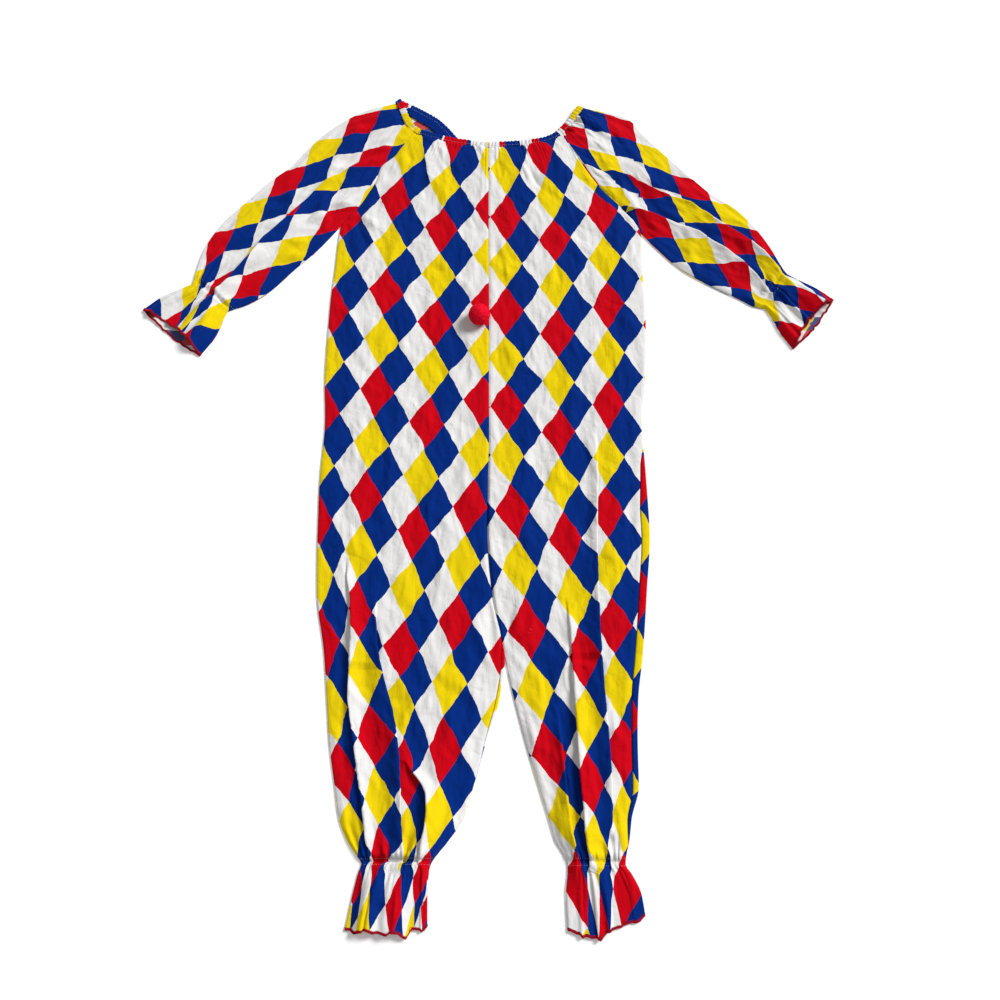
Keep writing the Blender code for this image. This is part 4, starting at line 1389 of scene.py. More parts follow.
def crinkle_group() -> Tree:
    """Fine washed-in wrinkles that run down the cloth, with short ones across them."""
    inputs = (("Print", VECTOR, None), ("Place", VECTOR, None), ("Cross Wrinkles", FLOAT, 0.5))
    tree, graph, given, out = new_group("WashedCrinkle", inputs, (("Height", FLOAT),))
    place = given.outputs["Place"]
    patch = graph.noise(place, 13.0, 2.0)
    long_way = graph.vector("MULTIPLY", given.outputs["Print"], (1.9, 0.5, 1.0))
    layers = ((long_way, 1.5, 2.0, 0.9, 0.24), (place, 30.0, 1.6, 1.1, 0.8), (place, 78.0, 2.0, 0.8, 0.25))
    total = 1.0
    for number, (vector, scale, detail, distortion, weight) in enumerate(layers):
        noise = graph.noise(vector, scale, detail, roughness=0.5, distortion=distortion)
        ridged = graph.math("ABSOLUTE", graph.minus(noise.outputs[0], 0.5))
        soft = graph.math("SQRT", graph.plus(graph.times(ridged, ridged), 0.0012))
        share = graph.times(graph.band(patch.outputs[0], 0.36, 0.62), given.outputs["Cross Wrinkles"])
        share = graph.plus(0.35, share) if number else 1.0
        total = graph.minus(total, graph.times(graph.times(soft, share), 3.0 * weight))
    shift = graph.vector("SCALE", graph.noise(place, 46.0, 2.0).outputs[1], 0.016)
    where = graph.vector("ADD", place, shift)
    for scale, reach, weight, low in ((26.0, 0.12, 0.42, 0.46), (58.0, 0.15, 0.20, 0.44)):
        inputs = {"Vector": where, "Scale": scale}
        cells = graph.node("ShaderNodeTexVoronoi", inputs, feature="DISTANCE_TO_EDGE")
        line = graph.minus(1.0, graph.band(cells.outputs["Distance"], 0.0, reach))
        some = graph.noise(place, scale * 0.9, 1.0)
        shown = graph.times(line, graph.band(some.outputs[0], low, low + 0.16))
        total = graph.minus(total, graph.times(shown, weight))
    graph.feed(out.inputs["Height"], total)
    return tree


@dataclass(frozen=True)
class SharedEffects:
    """The node groups that several finishes use."""

    harlequin: Tree
    weave: Tree
    crinkle: Tree


def new_material(name: str) -> tuple[Material, Graph, Node]:
    """A material with its Principled shader."""
    material = bpy.data.materials.new(name)
    material.use_nodes = True
    return material, Graph(material.node_tree), material.node_tree.nodes["Principled BSDF"]


@dataclass(frozen=True)
class PrintedCloth:
    """Thin washed cotton with the harlequin print.

    Args:
        name: the material's name.
        fade: how far the print is paled toward the ground, as on the cloth's inner side.
        hem_width: width of the red overlocking along the hem, in millimetres.
    """

    name: str
    fade: float = 0.0
    hem_width: float = 2.6
    blue: tuple[float, ...] = from_srgb(0, 41, 122)
    red: tuple[float, ...] = from_srgb(196, 0, 20)
    yellow: tuple[float, ...] = from_srgb(230, 203, 8)
    white: tuple[float, ...] = from_srgb(226, 225, 223)
    ground: tuple[float, ...] = from_srgb(206, 204, 206)
    thread: tuple[float, ...] = from_srgb(168, 14, 34)
    cool_tint: tuple[float, ...] = (0.80, 0.80, 0.84, 1.0)
    warm_tint: tuple[float, ...] = (0.84, 0.78, 0.78, 1.0)

    def material(self, effects: SharedEffects) -> Material:
        """Builds the finish."""
        material, graph, shader = new_material(self.name)
        place = graph.node("ShaderNodeTexCoord").outputs["Object"]
        uv = graph.node("ShaderNodeUVMap", uv_map="print").outputs[0]
        wander = graph.noise(place, 260.0, 2.0)
        small = graph.vector("SCALE", graph.vector("SUBTRACT", wander.outputs[1], (0.5, 0.5, 0.5)), 0.05)
        slow = graph.vector("SUBTRACT", graph.noise(place, 38.0, 1.5).outputs[1], (0.5, 0.5, 0.5))
        large = graph.vector("MULTIPLY", slow, (0.42, 0.24, 0.0))
        inked = graph.vector("ADD", uv, graph.vector("ADD", small, large))
        printed = graph.group(effects.harlequin, {
            "Print": inked, "Blue": self.blue, "Red": self.red, "Yellow": self.yellow, "White": self.white,
        })
        weave = graph.group(effects.weave, {"Place": place, "Thread Pitch": 0.45, "Slubs": 0.5})
        crinkle = graph.group(effects.crinkle, {"Print": uv, "Place": place, "Cross Wrinkles": 0.7})
        cloud = graph.noise(place, 38.0, 4.0, roughness=0.62)
        tint = graph.noise(place, 17.0, 2.0)
        shown = graph.mix(graph.band(tint.outputs[0], 0.42, 0.62), self.cool_tint, self.warm_tint)
        cloudy = graph.times(graph.band(cloud.outputs[0], 0.46, 0.72), printed.outputs["White Mask"])
        colour = graph.mix(graph.times(cloudy, 0.32), printed.outputs["Color"], shown)
        colour = graph.mix(self.fade, colour, self.ground)
        patchy = graph.plus(graph.times(cloud.outputs[0], 0.16), graph.times(tint.outputs[0], 0.12))
        tone = graph.plus(0.80, graph.plus(patchy, graph.times(weave.outputs["Tone"], 0.12)))
        shade = graph.vector("SCALE", colour, tone)
        worn = graph.noise(place, 420.0, 3.0)
        fleck = graph.times(graph.band(worn.outputs[0], 0.6, 0.75), 0.004)
        shade = graph.mix(fleck, shade, self.white)
        hem = graph.node("ShaderNodeAttribute", attribute_name="hem").outputs["Fac"]
        stitched = graph.plus(hem, graph.times(wander.outputs[0], 0.8))
        soft = graph.node("ShaderNodeBump", {
            "Height": crinkle.outputs["Height"], "Strength": 0.7, "Distance": 0.0015,
        })
        weave_bump = graph.node("ShaderNodeBump", {
            "Height": weave.outputs["Height"], "Normal": soft.outputs[0], "Strength": 0.25,
            "Distance": 0.00012,
        })
        graph.fill(shader, {
            "Base Color": graph.mix(graph.math("LESS_THAN", stitched, self.hem_width), shade, self.thread),
            "Roughness": graph.plus(0.78, graph.times(cloud.outputs[0], 0.14)), "Sheen Weight": 0.01,
            "Sheen Roughness": 0.5, "Specular IOR Level": 0.06, "Normal": weave_bump.outputs[0],
        })
        return material


@dataclass(frozen=True)
class Yarn:
    """Thread or fibre of one colour, twisted and slightly uneven in tone."""

    name: str
    color: tuple[float, ...]
    twist: float = 1400.0
    roughness: float = 0.75

    def material(self) -> Material:
        """Builds the finish."""
        material, graph, shader = new_material(self.name)
        place = graph.node("ShaderNodeTexCoord").outputs["Object"]
        noise = graph.noise(place, self.twist, 2.0).outputs[0]
        dark = tuple(0.8 * channel for channel in self.color[:3]) + (1.0,)
        light = tuple(min(1.0, 1.15 * channel + 0.01) for channel in self.color[:3]) + (1.0,)
        bump = graph.node("ShaderNodeBump", {"Height": noise, "Strength": 0.4, "Distance": 0.0002})
        graph.fill(shader, {
            "Base Color": graph.mix(graph.band(noise, 0.35, 0.65), dark, light), "Specular IOR Level": 0.1,
            "Roughness": graph.plus(self.roughness, graph.times(noise, 0.1)), "Normal": bump.outputs[0],
        })
        return material


@dataclass(frozen=True)
class FloorFinish:
    """A plain pale matt floor with the faintest unevenness, lit a little from below as a light table is."""

    name: str = "pale_floor"
    color: tuple[float, ...] = (0.985, 0.985, 0.985, 1.0)
    glow: float = 0.15

    def material(self) -> Material:
        """Builds the finish."""
        material, graph, shader = new_material(self.name)
        place = graph.node("ShaderNodeTexCoord").outputs["Object"]
        noise = graph.noise(place, 3.0, 2.0)
        dim = tuple(0.985 * channel for channel in self.color[:3]) + (1.0,)
        graph.fill(shader, {
            "Base Color": graph.mix(noise.outputs[0], self.color, dim), "Roughness": 0.9,
            "Specular IOR Level": 0.1, "Emission Color": self.color, "Emission Strength": self.glow,
        })
        return material


class Builder:
    """A Geometry Nodes tree with named inputs, run once on a host mesh and then made plain."""

    def __init__(self, name: str, material: Material, inputs: Inputs) -> None:
        """Starts the tree.

        Args:
            name: the tree's name.
            material: the finish of what it makes.
            inputs: name, socket type and value of each input between the geometry and the material.
        """
        self.tree = bpy.data.node_groups.new(name, "GeometryNodeTree")
        self.tree.interface.new_socket("Geometry", in_out="INPUT", socket_type="NodeSocketGeometry")
        self.values = {}
        for label, kind, value in (*inputs, ("Material", "NodeSocketMaterial", material)):
            socket = self.tree.interface.new_socket(label, in_out="INPUT", socket_type=kind)
            self.values[socket.identifier] = value
        self.tree.interface.new_socket("Geometry", in_out="OUTPUT", socket_type="NodeSocketGeometry")
        self.graph = Graph(self.tree)
        self.given = self.graph.node("NodeGroupInput")
        self.out = self.graph.node("NodeGroupOutput")

    def attribute(self, name: str, kind: str = "FLOAT") -> Socket:
        """Reads one of the host's named attributes."""
        return self.graph.node("GeometryNodeInputNamedAttribute", {0: name}, data_type=kind).outputs[0]

    def cord(self, line: Node, thickness: object, sides: int) -> Socket:
        """A round cord along a curve.

        Args:
            line: the node that makes the curve.
            thickness: the cord's thickness.
            sides: how many sides its section has.

        Returns:
            The cord's mesh.
        """
        radius = self.graph.times(thickness, 0.5)
        section = self.graph.node("GeometryNodeCurvePrimitiveCircle", {"Resolution": sides, "Radius": radius})
        return self.graph.node("GeometryNodeCurveToMesh", {
            "Curve": line.outputs[0], "Profile Curve": section.outputs[0], "Fill Caps": True,
        }).outputs[0]

    def scatter(self, shape: Socket, host: Piece, name: str) -> Piece:
        """Lays a shape at each of the host's points, with the turn and size kept there, and runs the tree."""
        turned = self.graph.node("FunctionNodeEulerToRotation", {0: self.attribute("turn", "FLOAT_VECTOR")})
        laid = self.graph.node("GeometryNodeInstanceOnPoints", {
            "Points": self.given.outputs["Geometry"], "Instance": shape,
            "Rotation": turned.outputs[0], "Scale": self.attribute("size"),
        })
        self.close(laid.outputs[0])
        return self.run(host, name)

    def close(self, geometry: Socket) -> None:
        """Ends the tree in Realize Instances and Set Material."""
        real = self.graph.node("GeometryNodeRealizeInstances", {0: geometry})
        smooth = self.graph.node("GeometryNodeSetShadeSmooth", {"Geometry": real.outputs[0]})
        painted = self.graph.node("GeometryNodeSetMaterial", {
            "Geometry": smooth.outputs[0], "Material": self.given.outputs["Material"],
        })
        self.graph.feed(self.out.inputs[0], painted.outputs[0])

    def run(self, host: Piece, name: str) -> Piece:
        """Runs the tree on a host and replaces it with the plain result.

        Args:
            host: the object that carries the points or surface.
            name: the finished piece's name.

        Returns:
            The finished piece.
        """
        modifier = host.modifiers.new(self.tree.name, "NODES")
        modifier.node_group = self.tree
        for identifier, value in self.values.items():
            modifier[identifier] = value
        host.update_tag()
        evaluated = host.evaluated_get(bpy.context.evaluated_depsgraph_get())
        mesh = bpy.data.meshes.new_from_object(evaluated)
        bpy.data.objects.remove(host, do_unlink=True)
        mesh.name = name
        places = np.empty(len(mesh.vertices) * 3, np.float32)
        mesh.vertices.foreach_get("co", places)
        places[2::3] = np.maximum(places[2::3], 0.0)
        mesh.vertices.foreach_set("co", places)
        return linked(name, mesh)


def host_points(name: str, places: Array, turns: Array, sizes: Array) -> Piece:
    """A mesh of loose points that carries a turn and a size at each.

    Args:
        name: the host's name.
        places: the points, in millimetres.
        turns: rotations as Euler angles.
        sizes: one scale for each point.

    Returns:
        The host.
    """
    mesh = bpy.data.meshes.new(name)
    mesh.from_pydata([tuple(place) for place in places * MM], [], [])
    add_attribute(mesh, "turn", turns, "FLOAT_VECTOR")
    add_attribute(mesh, "size", sizes)
    return linked(name, mesh)


def turns_of(along: Array, normal: Array) -> Array:
    """Euler angles that turn X to a direction and Z to a normal."""
    angles = []
    for first, up in zip(along, normal):
        side = np.cross(up, first)
        side /= max(np.linalg.norm(side), 1e-9)
        first = np.cross(side, up)
        pitch = math.asin(max(-1.0, min(1.0, -first[2])))
        angles.append((math.atan2(side[2], up[2]), pitch, math.atan2(first[1], first[0])))
    return np.array(angles)


@dataclass(frozen=True)
class Track:
    """A line over the cloth with the cloth's normals, for stitches to follow."""

    points: Array
    normals: Array

    def stations(self, pitch: float) -> tuple[Array, Array, Array]:
        """Even places along the line.

        Args:
            pitch: the distance between them, in millimetres.

        Returns:
            Places, directions and normals.
        """
        travelled = travel(self.points)
        wanted = np.arange(pitch / 2.0, travelled[-1], pitch)
        places = lerped(wanted, travelled, self.points)
        return places, unit(np.gradient(places, axis=0)), unit(lerped(wanted, travelled, self.normals))


def hem_track(grid: Grid, drop: float) -> Track:
    """A sheet's serged edge, lowered a little and run so that the cloth lies to its right."""
    points, normals = grid.points[-1], grid.normals()[-1]
    middle = len(points) // 2
    along = points[middle + 1] - points[middle - 1]
    outward = points[middle] - grid.points[-4, middle]
    if np.cross(normals[middle], along) @ outward < 0.0:
        points, normals = points[::-1], normals[::-1]
    return Track(points - (0.0, 0.0, drop), normals)


def row_track(grid: Grid, row: int, first: int = 0, last: int | None = None) -> Track:
    """Part of one row of a sheet's printed surface."""
    return Track(grid.edge(row, 0.12)[first:last], grid.normals()[row, first:last])


def hosted(
    name: str, tracks: Sequence[Track], pitch: float, seed: int, sizes: tuple[float, float]
) -> Piece:
    """A host with a point at each station of some tracks.

    Args:
        name: the name of the piece that it is for.
        tracks: the lines to follow.
        pitch: the distance between stations.
        seed: a fixed seed for the sizes.
        sizes: the smallest and the largest scale.

    Returns:
        The host.
    """
    found = [track.stations(pitch) for track in tracks]
    places, along, normals = (np.concatenate([each[n] for each in found]) for n in range(3))
    drawn = np.random.default_rng(seed).uniform(*sizes, len(places))
    return host_points(f"{name}_points", places, turns_of(along, normals), drawn)


@dataclass(frozen=True)
class Stitching:
    """Rows of machine stitches.

    Args:
        name: the piece's name.
        pitch: one stitch and its gap, in millimetres.
        length: the stitch's own length.
        thickness: the thread's thickness.
        seed: a fixed seed for the unevenness.
    """

    name: str
    pitch: float = 2.6
    length: float = 1.8
    thickness: float = 0.26
    seed: int = 5

    def build(self, tracks: Sequence[Track], material: Material) -> Piece:
        """Lays a stitch at each station of the tracks."""
        host = hosted(self.name, tracks, self.pitch, self.seed, (0.85, 1.12))
        tree = Builder("stitch_rows", material, (
            ("Stitch Length", FLOAT, self.length * MM), ("Thread Thickness", FLOAT, self.thickness * MM),
        ))
        graph, given = tree.graph, tree.given
        ball = graph.node("GeometryNodeMeshUVSphere", {"Segments": 6, "Rings": 4, "Radius": 0.5})
        thread = given.outputs["Thread Thickness"]
        scale = graph.combine(given.outputs["Stitch Length"], thread, thread)
        shaped = graph.node("GeometryNodeTransform", {"Geometry": ball.outputs[0], "Scale": scale})
        return tree.scatter(shaped.outputs[0], host, self.name)


@dataclass(frozen=True)
class Overlocking:
    """Overlock thread wrapped round the hems.

    Args:
        name: the piece's name.
        pitch: the distance between loops, in millimetres.
        width: how far each loop reaches in from the edge.
        thickness: the thread's thickness.
        slant: how far a loop leans along the edge.
        seed: a fixed seed for the unevenness.
    """

    name: str
    pitch: float = 0.95
    width: float = 2.7
    thickness: float = 0.4
    slant: float = 0.5
    seed: int = 8

    def build(self, tracks: Sequence[Track], material: Material) -> Piece:
        """Wraps a loop at each station of the hems."""
        host = hosted(self.name, tracks, self.pitch, self.seed, (0.88, 1.14))
        tree = Builder("overlock_loops", material, (
            ("Loop Width", FLOAT, self.width * MM), ("Thread Thickness", FLOAT, self.thickness * MM),
            ("Slant", FLOAT, self.slant * MM),
        ))
        graph, given = tree.graph, tree.given
        width, thread = given.outputs["Loop Width"], given.outputs["Thread Thickness"]
        back, outward = graph.times(width, -1.0), graph.times(width, 0.42)
        high, low = graph.times(thread, 0.95), graph.times(thread, -0.95)
        loop = graph.node("GeometryNodeCurvePrimitiveBezierSegment", {
            "Resolution": 7, "Start": graph.combine(given.outputs["Slant"], back, high),
            "Start Handle": graph.combine(0.0, outward, high), "End Handle": graph.combine(0.0, outward, low),
            "End": graph.combine(0.0, graph.times(back, 0.6), low),
        }, mode="POSITION")
        return tree.scatter(tree.cord(loop, thread, 4), host, self.name)


def even_points(edge: Points, count: int) -> Array:
    """Points at even distances along a bent line."""
    line = np.array(edge, dtype=float)
    travelled = travel(line)
    return lerped(np.linspace(0.0, travelled[-1], count), travelled, line)


@dataclass
class NeckCasing:
    """The gathered casing round the neck, cloth folded over an elastic.

    Args:
        stations: how many places each half has along it.
        gathers: how many gathers each half has.
        around: how many points its section has.
        far_from_hem: a distance at which no overlocking shows.
    """

    stations: int = 400
    gathers: int = 62
    around: int = 14
    far_from_hem: float = 99.0

    def half(self, edge: Points, level: float, right: Array, left: Array) -> tuple[Array, ...]:
        """One half of the casing's centre line.

        Args:
            edge: its upper edge, from the right shoulder peak to the left one.
            level: its height.
            right: direction down the right shoulder fold.
            left: direction down the left shoulder fold.

        Returns:
            Points on the upper edge with heights, and directions into the cloth.
        """
        line = even_points(edge, self.stations)
        for _ in range(90):
            line[1:-1] = 0.25 * line[:-2] + 0.5 * line[1:-1] + 0.25 * line[2:]
        along = unit(np.gradient(line, axis=0))
        side = np.column_stack([along[:, 1], -along[:, 0]])
        from_start = np.arange(self.stations)
        ease = smooth_step(from_start / 28.0)[:, None]
        side = side * ease + right * (1.0 - ease)
        side = unit(side * ease[::-1] + left * (1.0 - ease[::-1]))
        from_end = np.minimum(from_start, from_start[::-1])
        middle = (NECK_FRONT_HEIGHT + NECK_BACK_HEIGHT) / 2.0
        settle = np.sqrt(1.0 - (1.0 - np.minimum(from_end / 10.0, 1.0)) ** 2)
        height = middle + (level - middle) * np.maximum(settle, 0.25) + 0.5 * settle
        return np.column_stack([line, height]), np.column_stack([side, np.zeros(self.stations)])

    def prints(self, centre: Array, grids: dict[str, Grid], names: Sequence[str]) -> Array:
        """The print that runs on into the casing from the cloth below it."""
        edges, values, steps = [], [], []
        for name in names:
            grid = grids[name]
            size = SLEEVE_TOP_COLUMNS if name.startswith("sleeve") else grid.points.shape[1]
            edges.append(grid.points[0, :size])
            values.append(grid.prints[0, :size])
            gap = np.linalg.norm(grid.points[1, :size] - grid.points[0, :size], axis=1)[:, None]
            steps.append((grid.prints[0, :size] - grid.prints[1, :size]) / np.maximum(gap, 0.3))
        edge, value, step = (np.concatenate(part) for part in (edges, values, steps))
        step = np.clip(step, -0.05, 0.05)
        found = []
        for point in centre:
            apart = np.hypot(edge[:, 0] - point[0], edge[:, 1] - point[1])
            nearest = int(apart.argmin())
            found.append(value[nearest] + step[nearest] * min(apart[nearest], 9.0) * 0.4)
        return np.array(found)

    def back_prints(self, centre: Array) -> Array:
        """The print along the back half, a row of diamonds stretched by the elastic."""
        run = travel(centre)
        return np.column_stack([3.3 - run / 42.0, np.full(len(run), 0.05)])

    def build(self, grids: dict[str, Grid], material: Material) -> Piece:
        """Makes the casing as one closed ring.

        Args:
            grids: the panels' grids, whose print it carries on.
            material: its cloth.

        Returns:
            The piece.
        """
        right = np.array(SLEEVE_RIGHT_SECTIONS[0][2:4]) - np.array(NECK_FRONT_EDGE[0])
        left = np.array(SLEEVE_LEFT_SECTIONS[0][2:4]) - np.array(NECK_FRONT_EDGE[-1])
        right, left = right / np.linalg.norm(right), left / np.linalg.norm(left)
        front, front_side = self.half(NECK_FRONT_EDGE, NECK_FRONT_HEIGHT, right, left)
        back, back_side = self.half(NECK_BACK_EDGE, NECK_BACK_HEIGHT, right, left)
        edge = np.concatenate([front, back[::-1]])
        side = np.concatenate([front_side, back_side[::-1]])
        half_width = NECK_BAND_WIDTH / 2.0 + 0.35
        share = np.linspace(0.0, 1.0, self.stations)
        wider = BACK_BAND_SPREAD * smooth_step(share / 0.12) * smooth_step((1.0 - share) / 0.12)
        width = half_width + np.concatenate([np.zeros(self.stations), wider[::-1]])[:, None]
        centre = edge + side * width
        names = ("sleeve_right", "front_right", "front_left", "sleeve_left")
        fronts = self.prints(front + front_side * half_width, grids, names)
        peak = ((0, 9, (2.0, 0.0)), (9, 25, (1.0, -1.0)), (25, 36, (0.0, 0.0)), (36, 66, (1.0, 1.0)))
        for first, last, diamond in peak:
            fronts[first:last] = diamond
        fronts[-(self.stations // 12) :] = (1.0, 1.0)
        prints = np.concatenate([fronts, self.back_prints(back)[::-1]])
        count = len(edge)
        points, across = [], []
        for angle in np.linspace(0.0, TURN, self.around, endpoint=False):
            parts = (math.cos(angle), math.sin(angle))
            wide, tall = (math.copysign(abs(part) ** 0.8, part) for part in parts)
            raised = np.array([0.0, 0.0, NECK_BAND_THICKNESS * (0.42 - 0.1 * (wide + 1.0)) * tall])
            points.append(centre + side * (width * wide * 0.96) + raised)
            across.append(np.full(count, wide))
        mesh = bpy.data.meshes.new("neck_casing_host")
        index = np.arange(self.around * count).reshape(self.around, count)
        beside, after = np.roll(index, -1, axis=1), np.roll(index, -1, axis=0)
        faces = np.stack([index, beside, np.roll(after, -1, axis=1), after], axis=-1).reshape(-1, 4)
        mesh.from_pydata([tuple(p) for p in np.array(points).reshape(-1, 3) * MM], [], faces.tolist())
        turns = np.arange(count) / count * 2.0 * self.gathers
        add_attribute(mesh, "gather", np.tile(turns, self.around))
        add_attribute(mesh, "across", np.array(across))
        add_attribute(mesh, "hem", np.full(self.around * count, self.far_from_hem))
        add_print(mesh, np.tile(prints, (self.around, 1)), faces)
        inputs = (("Depth", FLOAT, 0.62 * MM), ("Unevenness", FLOAT, 0.45), ("Seed", FLOAT, 3.0))
        tree = Builder("casing_gathers", material, inputs)
        graph, given = tree.graph, tree.given
        place = tree.attribute("gather")
        slow = graph.node("ShaderNodeTexNoise", {
            "W": graph.plus(graph.times(place, 0.37), given.outputs["Seed"]), "Scale": 1.0,
        }, noise_dimensions="1D").outputs[0]
        shift = graph.times(slow, given.outputs["Unevenness"])
        lean = graph.times(tree.attribute("across"), 0.07)
        phase = graph.times(graph.plus(graph.plus(place, graph.times(shift, 2.2)), lean), TURN)
        fold = graph.minus(graph.math("ABSOLUTE", graph.math("SINE", graph.times(phase, 0.5))), 0.55)
        uneven = graph.plus(0.62, graph.times(slow, 0.75))
        height = graph.times(graph.times(fold, uneven), given.outputs["Depth"])
        normal = graph.node("GeometryNodeInputNormal").outputs[0]
        moved = graph.node("GeometryNodeSetPosition", {
            "Geometry": given.outputs["Geometry"],
            "Offset": graph.vector("SCALE", normal, graph.times(height, 1.7)),
        })
        tree.close(moved.outputs[0])
        self.top = Track(edge + side * 6.2 + np.array([0.0, 0.0, 1.1]), np.tile([0.0, 0.0, 1.0], (count, 1)))
        return tree.run(linked("neck_casing_host", mesh), "neck_casing_cloth")


@dataclass
class Pompom:
    """A round yarn pompom, flat where it is sewn on.

    Args:
        radius: the pompom's radius.
        place: where it is sewn on.
        base: the cloth's height there.
        lowered: how far its centre is above the flat.
        fibres: how many fibres a whole ball would have.
        seed: a fixed seed for the fibres.
    """

    radius: float = POMPOM_RADIUS
    place: tuple[float, float] = POMPOM_PLACE
    base: float = 4.8
    lowered: float = 9.0
    fibres: int = 3800
    seed: int = 17

    def build(self, core: Material, yarn: Material) -> list[Piece]:
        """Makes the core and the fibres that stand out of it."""
        centre = Vector((self.place[0], self.place[1], self.base + self.lowered)) * MM
        shape = bmesh.new()
        bmesh.ops.create_icosphere(shape, subdivisions=5, radius=(self.radius - 0.95) * MM)
        for vertex in shape.verts:
            way = vertex.co.normalized()
            lump = math.sin(9.0 * way.x + 3.0 * way.z) * math.sin(8.0 * way.y + 1.0)
            lump *= math.sin(7.0 * way.z + 2.0)
            vertex.co *= 1.0 + 0.035 * lump
            vertex.co.z = max(vertex.co.z, -self.lowered * MM)
            vertex.co += centre
        mesh = bpy.data.meshes.new("pompom_core")
        shape.to_mesh(mesh)
        shape.free()
        mesh.materials.append(core)
        mesh.shade_smooth()
        ball = linked("pompom_core", mesh)
        draw = np.random.default_rng(self.seed)
        ways = unit(draw.normal(size=(self.fibres, 3)))
        places = np.array(centre) / MM + ways * (self.radius - 1.3)
        kept = places[:, 2] > self.base + 0.6
        places, ways = places[kept], ways[kept]
        leans = unit(ways + draw.normal(scale=0.85, size=ways.shape))
        aside = unit(np.cross(leans, draw.normal(size=ways.shape)))
        sizes = draw.uniform(0.6, 1.0, len(places))
        host = host_points("pompom_points", places, turns_of(aside, leans), sizes)
        inputs = (("Fibre Length", FLOAT, 1.2 * MM), ("Fibre Thickness", FLOAT, 0.42 * MM))
        tree = Builder("yarn_fibres", yarn, inputs)
        graph, given = tree.graph, tree.given
        length, thick = given.outputs["Fibre Length"], given.outputs["Fibre Thickness"]
        bent = graph.node("GeometryNodeCurveQuadraticBezier", {
            "Resolution": 3, "Start": (0.0, 0.0, 0.0),
            "Middle": graph.combine(graph.times(length, 0.16), 0.0, graph.times(length, 0.5)),
            "End": graph.combine(graph.times(length, -0.1), 0.0, length),
        })
        return [ball, tree.scatter(tree.cord(bent, thick, 3), host, "pompom_fibres")]


@dataclass
class Studio:
    """The pale floor, the soft lights and the camera over the foot end of the jumpsuit."""

    aim: tuple[float, float, float] = (0.0133, -0.048, 0.0)
    distance: float = 1.26
    tilt: float = 22.0
    lens: float = 43.2
    floor_size: float = 12.0
    air_strength: float = 0.24

    def build(self) -> None:
        """Makes the floor, the lights and the camera."""
        half = self.floor_size / 2.0
        mesh = bpy.data.meshes.new("studio_floor")
        corners = [(-half, -half, 0.0), (half, -half, 0.0), (half, half, 0.0), (-half, half, 0.0)]
        mesh.from_pydata(corners, [], [(0, 1, 2, 3)])
        mesh.materials.append(FloorFinish().material())
        linked("studio_floor", mesh)
        world = bpy.data.worlds.new("studio_air")
        bpy.context.scene.world = world
        world.use_nodes = True
        background = world.node_tree.nodes["Background"]
        background.inputs["Color"].default_value = (1.0, 1.0, 1.0, 1.0)
        background.inputs["Strength"].default_value = self.air_strength
        self._light("key", (0.74, 0.42, 0.70), 0.42, 3.42)
        self._light("fill", (-0.5, 0.1, 0.8), 0.9, 0.3)
        self._camera()
        bpy.context.scene.view_settings.view_transform = "Standard"

    def _light(self, name: str, way: tuple[float, float, float], spread: float, strength: float) -> None:
        """Adds one large, distant, soft light.

        Args:
            name: the light's name.
            way: the direction toward it.
            spread: how wide it looks, in radians.
            strength: its strength.
        """
        data = bpy.data.lights.new(name, "SUN")
        data.angle = spread
        data.energy = strength
        lamp = linked(name, data)
        lamp.location = Vector(way) * 3.0
        lamp.rotation_euler = (-Vector(way)).to_track_quat("-Z", "Y").to_euler()

    def _camera(self) -> None:
        """Adds the camera, tilted from straight overhead toward the foot end."""
        data = bpy.data.cameras.new("studio_camera")
        data.lens = self.lens
        data.sensor_width = 36.0
        data.sensor_fit = "HORIZONTAL"
        camera = linked("studio_camera", data)
        angle = math.radians(self.tilt)
        away = Vector((0.0, -math.sin(angle), math.cos(angle))) * self.distance
        camera.location = Vector(self.aim) + away
        camera.rotation_euler = (angle, 0.0, 0.0)
        bpy.context.scene.camera = camera


